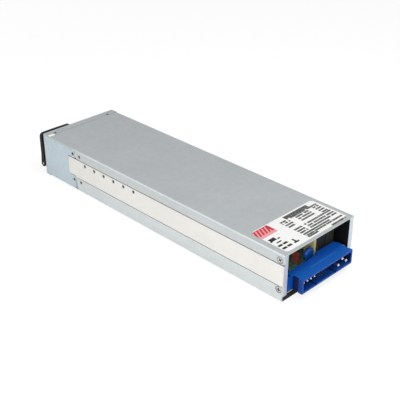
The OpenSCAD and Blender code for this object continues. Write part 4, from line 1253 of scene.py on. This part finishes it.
@dataclass
class ScrewSet:
    """One kind of cross-recessed screw: modelled once, then copied to every place.

    Attributes:
        node: CAD node that the set stands for.
        slot: Material slot.
        places: Top centre of each head, and the direction it faces.
        head_r: Radius of the head.
        head_h: Height of the head.
        shank_r: Radius of the shank.
        shank_l: Length of the shank under the head.
        dome: How far the head's brow falls away.
        rim: Width of the dark sunk rim round the head.
        body: Body that carries it.
        form: Form of the head.
        first_turn: How far the first screw is turned in, in degrees.
        next_turn: How much further each next one is.
    """

    node: str
    slot: str
    places: list[Spot]
    head_r: float = 1.5
    head_h: float = 1.1
    shank_r: float = 1.1
    shank_l: float = 2.0
    dome: float = 0.12
    rim: float = 0.0
    body: str = "module"
    form: HeadForm = HeadForm()
    first_turn: float = 17.0
    next_turn: float = 37.0

    def _crown(self, radius: float) -> Piece:
        """Models the head with its flat top, its falling brow and its broken edge.

        Args:
            radius: Radius of the head inside its rim.

        Returns:
            The head, painted.
        """
        form = self.form
        head = Bench.rod("head", radius, -self.head_h, 0.0, form.sides)
        Bench.pick(head, lambda face: face.normal.z > SQUARE)
        bpy.ops.mesh.inset(thickness=radius * form.flat * MM)
        Bench.take(head)
        for vertex in head.data.vertices:
            if vertex.co.z > -self.head_h / 2 * MM and vertex.co.xy.length > radius * form.brow * MM:
                vertex.co.z -= self.dome * MM
        Bench.bevel(head, min(form.widest_edge, self.head_h * form.edge), 2, form.edge_angle)
        head.data.materials.append(Paint.of(self.slot))
        return head

    def _recess(self, head: Piece, radius: float) -> None:
        """Cuts the cross into the head and shades it.

        Args:
            head: The head.
            radius: Radius of the head inside its rim.
        """
        form = self.form
        above = 1.0
        depth = min(self.head_h * form.depth_of_head, self.head_r * form.depth)
        arm, wide = self.head_r * form.arm, self.head_r * form.arm_width
        for x, y in ((arm, wide), (wide, arm)):
            Bench.cut(head, Bench.block("tool", (-x, -y, -depth), (x, y, above)))
        hub = Bench.rod("tool", self.head_r * form.hub, -depth * form.hub_depth, above / 2, form.hub_sides)
        for vertex in hub.data.vertices:
            if vertex.co.z < 0:
                vertex.co.xy *= form.hub_taper
        Bench.cut(head, hub)
        Bench.repaint(head, "joint_shadow",
                      lambda face: -depth * form.shade_to < face.center.z / MM < -form.shade_from
                      and face.center.xy.length < radius * form.shade * MM)

    def _model(self) -> Piece:
        """Models one screw with its head's top at the origin, facing +Z.

        Returns:
            The screw.
        """
        crown = self.head_r - self.rim
        head = self._crown(crown)
        self._recess(head, crown)
        parts = [head, Bench.rod("shank", self.shank_r, -self.head_h - self.shank_l,
                                 self.form.shank_lap - self.head_h, self.form.shank_sides)]
        if self.rim:
            parts.append(Bench.rod("rim", self.head_r, -self.head_h, -self.rim * self.form.rim_depth,
                                   self.form.sides))
            parts[-1].data.materials.append(Paint.of("joint_shadow"))
        return Bench.join(parts, f"{self.node}_model")

    def build(self) -> None:
        """Models the screw, copies it to its places and joins the copies."""
        model = self._model()
        copies = []
        for i, (spot, way) in enumerate(self.places):
            turn = Vector(way).to_track_quat("Z", "Y").to_matrix().to_4x4()
            spin = Matrix.Rotation(math.radians(self.first_turn + self.next_turn * i), 4, "Z")
            place = Matrix.Translation(Vector(spot) * MM) @ turn @ spin
            copies.append(Bench.copy(model, f"{self.node}_{i}", place))
        bpy.data.objects.remove(model)
        piece = Bench.join(copies, f"{self.node}_finished")
        Bench.smooth(piece)
        Bench.finish(piece, self.body, self.slot, self.node, keep_materials=True)


@dataclass
class CaseScrews:
    """All the screws that show or hold the case, each set where its CAD node has it.

    Attributes:
        nodes: The CAD nodes.
        rear_rim: Width of the sunk rim round the two rear screws.
    """

    nodes: CadNodes
    rear_rim: float = 0.5

    def _across(self, node: str) -> list[Spot]:
        """Finds the screws that go in from both sides of the case.

        Args:
            node: The screws' CAD node.

        Returns:
            Top centre and direction of each.
        """
        places = []
        for low, high in self.nodes.solids(node):
            side, top_x = (1.0, high.x) if low.x > 0 else (-1.0, low.x)
            places.append(((top_x, (low.y + high.y) / 2, (low.z + high.z) / 2), (side, 0.0, 0.0)))
        return places

    def _down(self, node: str) -> list[Spot]:
        """The top centre and direction of each screw that goes in from above."""
        return [(((low.x + high.x) / 2, (low.y + high.y) / 2, high.z), (0.0, 0.0, 1.0))
                for low, high in self.nodes.solids(node)]

    def build(self) -> None:
        """Builds every set."""
        ScrewSet("device_screws", "dark_screw", self._across("device_screws"), head_h=1.3,
                 shank_l=3.0).build()
        for node in ("housing_screws", "cover_screws"):
            ScrewSet(node, "dark_screw", self._across(node)).build()
        ScrewSet("rear_screws", "plated_steel", self._across("rear_screws"), head_r=2.9, shank_r=1.5,
                 dome=0.0, rim=self.rear_rim).build()
        ScrewSet("lip_screws", "dark_screw", self._down("lip_screws"), shank_r=0.8, shank_l=2.6).build()


@dataclass
class FoldingHandle:
    """The black bail on its bracket, with the bright pivot pins, and the latch tooth above it.

    Attributes:
        nodes: The CAD nodes.
        bail_edge: Break of the bail's edges.
        bail_angle: Edges of the bail sharper than this, in degrees, are broken.
        bracket_edge: Break of the bracket's edges.
        pin_edge: Break of the pins' edges.
        tooth_edge: Break of the tooth's edges.
    """

    nodes: CadNodes
    bail_edge: float = 0.7
    bail_angle: float = 50.0
    bracket_edge: float = 0.35
    pin_edge: float = 0.18
    tooth_edge: float = 0.12

    def build(self) -> None:
        """Refines the handle's pieces and paints the tooth's top white, partly as a painted highlight."""
        self.nodes.refine("bail_handle", self.bail_edge, 3, self.bail_angle)
        self.nodes.refine("handle_bracket", self.bracket_edge)
        self.nodes.refine("handle_pins", self.pin_edge)
        tooth = self.nodes.refine("latch_tooth", self.tooth_edge)
        Bench.repaint(tooth, "white_and_lit_latch_top", lambda face: face.normal.z > LEANING)


@dataclass
class FanBay:
    """Fans, bracket and indicators behind the air holes of the front.

    Attributes:
        nodes: The CAD nodes.
        frame_edge: Break of the fan frames' edges.
        rotor_edge: Break of the rotors' edges.
        rotor_angle: Edges of a rotor sharper than this, in degrees, are broken.
        bracket_edge: Break of the bracket's edges.
        lens_edge: Break of the lenses' edges.
    """

    nodes: CadNodes
    frame_edge: float = 0.35
    rotor_edge: float = 0.18
    rotor_angle: float = 50.0
    bracket_edge: float = 0.12
    lens_edge: float = 0.1

    def build(self) -> None:
        """Refines the fans, their bracket and the lenses."""
        for name in ("right_fan_frame", "left_fan_frame"):
            self.nodes.refine(name, self.frame_edge)
        for name in ("right_fan_rotor", "left_fan_rotor"):
            self.nodes.refine(name, self.rotor_edge, angle=self.rotor_angle)
        self.nodes.refine("fan_bracket", self.bracket_edge, segments=1)
        self.nodes.refine("indicator_lenses", self.lens_edge, segments=1)


@dataclass
class RearConnector:
    """The blue shrouded header and its contacts.

    Attributes:
        nodes: The CAD nodes.
        housing_edge: Break of the housing's edges.
        screw_edge: Break of the screws' edges.
        bright_tip: Length of a power pin's tip that takes a painted glint; the rest and the signal pins take
            painted shade.
        shroud_y: Where the shroud starts.
        rib_y: Limits of the rib on top that takes a painted highlight, along Y.
        rib_h: How far under the housing's top the rib's faces lie at most.
        top_h: How far under the housing's top the faces painted as lit lie at most.
        wall_t: How far inside the shroud's outer wall the faces painted in deep shade start.
        floor_z: Height below which an upward face is the shroud's floor.
    """

    nodes: CadNodes
    housing_edge: float = 0.25
    screw_edge: float = 0.3
    bright_tip: float = 1.2
    shroud_y: float = 149.9
    rib_y: Pair = (151.7, 152.5)
    rib_h: float = 0.28
    top_h: float = 0.4
    wall_t: float = 0.4
    floor_z: float = 8.2

    def _housing(self) -> None:
        """Refines the housing and paints shade on its side walls, recesses and floor, light on its top and a
        highlight on its rib.
        """
        housing = self.nodes.refine("connector_housing", self.housing_edge)
        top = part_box("connector_housing")[1]
        wall_x = max(v.co.x for v in housing.data.vertices if v.co.y > top.y - MM)
        shroud_y, rib_y = self.shroud_y * MM, [y * MM for y in self.rib_y]
        Bench.repaint(housing, "blue_shade", lambda face: face.normal.x > SQUARE)
        Bench.repaint(housing, "blue_deep_shade", lambda face: face.normal.x > SQUARE
                      and face.center.y > shroud_y and face.center.x < wall_x - self.wall_t * MM)
        Bench.repaint(housing, "blue_lit_top", lambda face: face.normal.z > FACING
                      and face.center.y > shroud_y and face.center.z > top.z - self.top_h * MM)
        Bench.repaint(housing, "blue_rib_highlight", lambda face: rib_y[0] < face.center.y < rib_y[1]
                      and face.center.z > top.z - self.rib_h * MM)
        Bench.repaint(housing, "blue_shade", lambda face: face.normal.z > FACING
                      and face.center.y > shroud_y and face.center.z < self.floor_z * MM)

    def _pins(self, name: str, bright: float) -> None:
        """Refines contacts, with a painted glint on the tips and painted shade on the shanks.

        Args:
            name: The contacts' CAD node.
            bright: Length of the tip that takes the painted glint.
        """
        pins = self.nodes.refine(name, 0.0)
        tip_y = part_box(name)[1].y - bright * MM
        # Painted shade on the shanks, painted glint on the tips.
        Bench.repaint(pins, "shaded_contact", lambda face: face.center.y < tip_y)
        Bench.repaint(pins, "contact_tip", lambda face: face.center.y >= tip_y)

    def build(self) -> None:
        """Refines the header, its pins and its screws."""
        self._housing()
        self._pins("connector_input_pins", self.bright_tip)
        self._pins("connector_output_pins", self.bright_tip)
        self._pins("connector_signal_pins", 0.0)
        self.nodes.refine("connector_screws", self.screw_edge)


@dataclass
class PowerBoard:
    """The parts on the main board, most of all those seen through the rear opening.

    Attributes:
        nodes: The CAD nodes.
        wire_r: Radius of the choke's wire.
        corner_r: Radius of a winding's corners.
        corner_steps: Steps round a winding's corner.
        wire_angle: Edges of the wire sharper than this, in degrees, stay sharp.
        chip_edge: Break of the small chips' edges.
        chip_end: Depth of a chip's metal end.
    """

    nodes: CadNodes
    wire_r: float = 0.62
    corner_r: float = 2.4
    corner_steps: int = 3
    wire_angle: float = 60.0
    chip_edge: float = 0.15
    chip_end: float = 0.12

    def _windings(self) -> None:
        """Winds round wire on both legs of the common-mode choke."""
        low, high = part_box("choke_windings")
        middle, across = (low.x + high.x) / 2, 2 * self.wire_r * MM
        turns = int((high.z - low.z) / across)
        pitch = (high.z - low.z - across) / max(turns - 1, 1)
        places = [vertex.co.x for vertex in frame["nodes"]["choke_windings"].data.vertices]
        loops = []
        for left, right in ((low.x, middle), (middle, high.x)):
            leg = [x for x in places if left <= x <= right]
            loops += [self._loop((min(leg), max(leg)), (low.y, high.y), low.z + across / 2 + pitch * turn)
                      for turn in range(turns)]
        piece = Bench.join(loops, "choke_wire")
        Bench.smooth(piece, self.wire_angle)
        Bench.finish(piece, "module", "copper_wire")
        self.nodes.refine("choke_windings", 0.0)

    def _loop(self, x: Pair, y: Pair, z: float) -> Piece:
        """Makes one turn of wire round a rounded rectangle.

        Args:
            x: Outer limits of the turn along X, in metres.
            y: Its outer limits along Y.
            z: Height of the wire's middle.

        Returns:
            The turn.
        """
        Bench.take()
        bpy.ops.mesh.primitive_plane_add(size=1.0)
        item = bpy.context.object
        grow = self.wire_r * MM
        for vertex in item.data.vertices:
            vertex.co = Vector((x[0] + grow if vertex.co.x < 0 else x[1] - grow,
                                y[0] + grow if vertex.co.y < 0 else y[1] - grow, z))
        bpy.ops.object.mode_set(mode="EDIT")
        bpy.ops.mesh.select_all(action="SELECT")
        bpy.ops.mesh.delete(type="ONLY_FACE")
        bpy.ops.mesh.select_all(action="SELECT")
        bpy.ops.mesh.bevel(offset=self.corner_r * MM, segments=self.corner_steps, affect="VERTICES")
        bpy.ops.object.mode_set(mode="OBJECT")
        bpy.ops.object.convert(target="CURVE")
        wire = bpy.context.object
        wire.data.bevel_depth = grow
        wire.data.bevel_resolution = 2
        bpy.ops.object.convert(target="MESH")
        return bpy.context.object

    def _chips(self) -> None:
        """Puts metal ends on the small chips behind the connector."""
        piece = self.nodes.refine("board_small_parts", self.chip_edge, segments=1)
        piece.data.materials.append(Paint.of("fuse_metal"))
        mesh = bmesh.new()
        mesh.from_mesh(piece.data)
        chips = islands(mesh.faces, lambda face: {near for edge in face.edges for near in edge.link_faces})
        for chip in chips:
            places = [vertex.co.x for face in chip for vertex in face.verts]
            for face in chip:
                x = face.calc_center_median().x
                if min(x - min(places), max(places) - x) < self.chip_end * MM:
                    face.material_index = 1
        mesh.to_mesh(piece.data)
        mesh.free()

    def build(self) -> None:
        """Refines the parts, each with its width of broken edge in millimetres, and adds the wire."""
        edges = {"film_capacitor": 0.8, "x_capacitor": 0.8, "choke_base": 0.2, "choke_core": 0.4, "relay": 0.5,
                 "transformer_core": 0.4, "bridge_rectifier": 0.4, "bridge_heatsink": 0.15,
                 "aux_transformer": 0.4, "output_inductor": 0.6, "right_transistors": 0.15,
                 "left_transistors": 0.15, "bulk_capacitors": 0.3, "output_capacitors": 0.2,
                 "main_board": 0.1, "insulating_sheet": 0.08, "disc_varistor": 0.0, "fuse": 0.0,
                 "pfc_choke_core": 0.0, "pfc_choke_winding": 0.0, "transformer_winding": 0.0}
        for name, width in edges.items():
            self.nodes.refine(name, width)
        self._windings()
        self._chips()


# -------------------------------------------------------------------- studio


@dataclass(frozen=True)
class Lamp:
    """A square soft lamp that faces the object.

    Attributes:
        name: Its name.
        place: Its middle, in metres.
        size: Length of its sides, in metres.
        power: Its power, in watts.
    """

    name: str
    place: Triple
    size: float
    power: float


@dataclass
class Studio:
    """Floor, lamps and camera.

    Attributes:
        azimuth: Camera's direction round the object, in degrees.
        elevation: Camera's height above the horizon, in degrees.
        distance: Camera's distance from its aim, in metres.
        aim: What the camera points at, in metres.
        lens: Focal length for a 36 mm sensor.
        sky: Strength of the surrounding light.
        floor_size: Length of the floor's sides, in metres.
        floor_z: Height of the floor, in metres, just under the object.
        floor_white: Linear grey of the floor for the light that it throws back.
        floor_seen: Linear colour of the floor for the camera, which shows the shadow.
        floor_glow: What the camera sees on top of it.
        lamps: The lamps.
    """

    azimuth: float = 135.31
    elevation: float = 29.07
    distance: float = 0.715157
    aim: Triple = (0.00005, 0.02018, 0.020)
    lens: float = 74.357
    sky: float = 0.40
    floor_size: float = 12.0
    floor_z: float = -0.0002
    floor_white: float = 0.82
    floor_seen: Triple = (0.26, 0.26, 0.27)
    floor_glow: float = 0.80
    lamps: tuple[Lamp, ...] = (Lamp("key", (0.80, 0.40, 0.42), size=0.65, power=4.2),
                               Lamp("top", (-0.1, 0.3, 0.9), size=0.7, power=3.6),
                               Lamp("rear", (-0.2, 0.9, 0.9), size=0.9, power=1.5),
                               Lamp("front", (0.15, -1.1, 0.22), size=0.5, power=1.6))

    def _floor(self) -> None:
        """A white floor that keeps a faint shadow."""
        Bench.take()
        bpy.ops.mesh.primitive_plane_add(size=self.floor_size, location=(0, 0, self.floor_z))
        floor = bpy.context.object
        floor.name = "studio_floor"
        made, graph, shader = Graph.of_material("studio_floor")
        graph.tree.nodes.remove(shader)
        plain = graph.feed(graph.add("ShaderNodeBsdfDiffuse"), Color=grey(self.floor_white))
        seen = graph.feed(graph.add("ShaderNodeBsdfDiffuse"), Color=(*self.floor_seen, 1.0))
        glow = graph.feed(graph.add("ShaderNodeEmission"), Strength=self.floor_glow)
        added, mixed = graph.add("ShaderNodeAddShader"), graph.add("ShaderNodeMixShader")
        for index, shown in enumerate((seen, glow)):
            graph.put(added.inputs[index], shown.outputs[0])
        path = graph.add("ShaderNodeLightPath")
        for index, value in enumerate((path.outputs["Is Camera Ray"], plain.outputs[0], added.outputs[0])):
            graph.put(mixed.inputs[index], value)
        graph.put(graph.tree.nodes["Material Output"].inputs["Surface"], mixed.outputs[0])
        floor.data.materials.append(made)

    def _world(self) -> None:
        """Soft surrounding light, white where the camera looks past the floor."""
        world = bpy.data.worlds.new("studio")
        world.use_nodes = True
        bpy.context.scene.world = world
        graph = Graph(world.node_tree)
        path = graph.add("ShaderNodeLightPath")
        direct = graph.math("MAXIMUM", path.outputs["Is Camera Ray"], path.outputs["Is Transmission Ray"])
        graph.feed(graph.tree.nodes["Background"], Color=grey(1.0),
                   Strength=graph.scaled(direct, 1.0 - self.sky, self.sky))

    def _add(self, name: str, data: bpy.types.ID, place: Vector, back: Vector) -> Piece:
        """Adds a lamp or a camera.

        Args:
            name: Its name.
            data: Its settings.
            place: Where it stands, in metres.
            back: The direction that its back points in.

        Returns:
            The object.
        """
        item = bpy.data.objects.new(name, data)
        bpy.context.scene.collection.objects.link(item)
        item.location = place
        item.rotation_mode = "QUATERNION"
        item.rotation_quaternion = back.to_track_quat("Z", "Y")
        return item

    def _lamp(self, lamp: Lamp) -> None:
        """Adds a lamp.

        Args:
            lamp: Its place, size and power.
        """
        data = bpy.data.lights.new(lamp.name, "AREA")
        data.shape, data.size, data.energy = "SQUARE", lamp.size, lamp.power
        self._add(lamp.name, data, Vector(lamp.place), Vector(lamp.place) - Vector(self.aim))

    def _camera(self) -> None:
        """Adds the camera, to the right of the rear and above."""
        turn, lift = math.radians(self.azimuth), math.radians(self.elevation)
        back = Vector((math.sin(turn) * math.cos(lift), -math.cos(turn) * math.cos(lift), math.sin(lift)))
        data = bpy.data.cameras.new("camera")
        data.sensor_width, data.lens = 36.0, self.lens
        data.clip_start, data.clip_end = 0.05, 50.0
        bpy.context.scene.camera = self._add("camera", data, Vector(self.aim) + back * self.distance, back)

    def build(self) -> None:
        """Sets the scene up."""
        bpy.context.scene.view_settings.view_transform = "Standard"
        self._camera()
        self._world()
        self._floor()
        for lamp in self.lamps:
            self._lamp(lamp)


def main() -> None:
    """Builds the studio and the sub-assemblies in order, and logs each sub-assembly as it is built."""
    logging.basicConfig(level=logging.INFO, format="%(name)s: %(message)s")
    Studio().build()
    nodes = CadNodes()
    nodes.dress()
    for assembly in (CaseShell, CaseScrews, FoldingHandle, FanBay, RearConnector, PowerBoard):
        assembly(nodes).build()
        LOG.info("built %s", assembly.__name__)
    Bench.take()


if __name__ == "__main__":
    main()
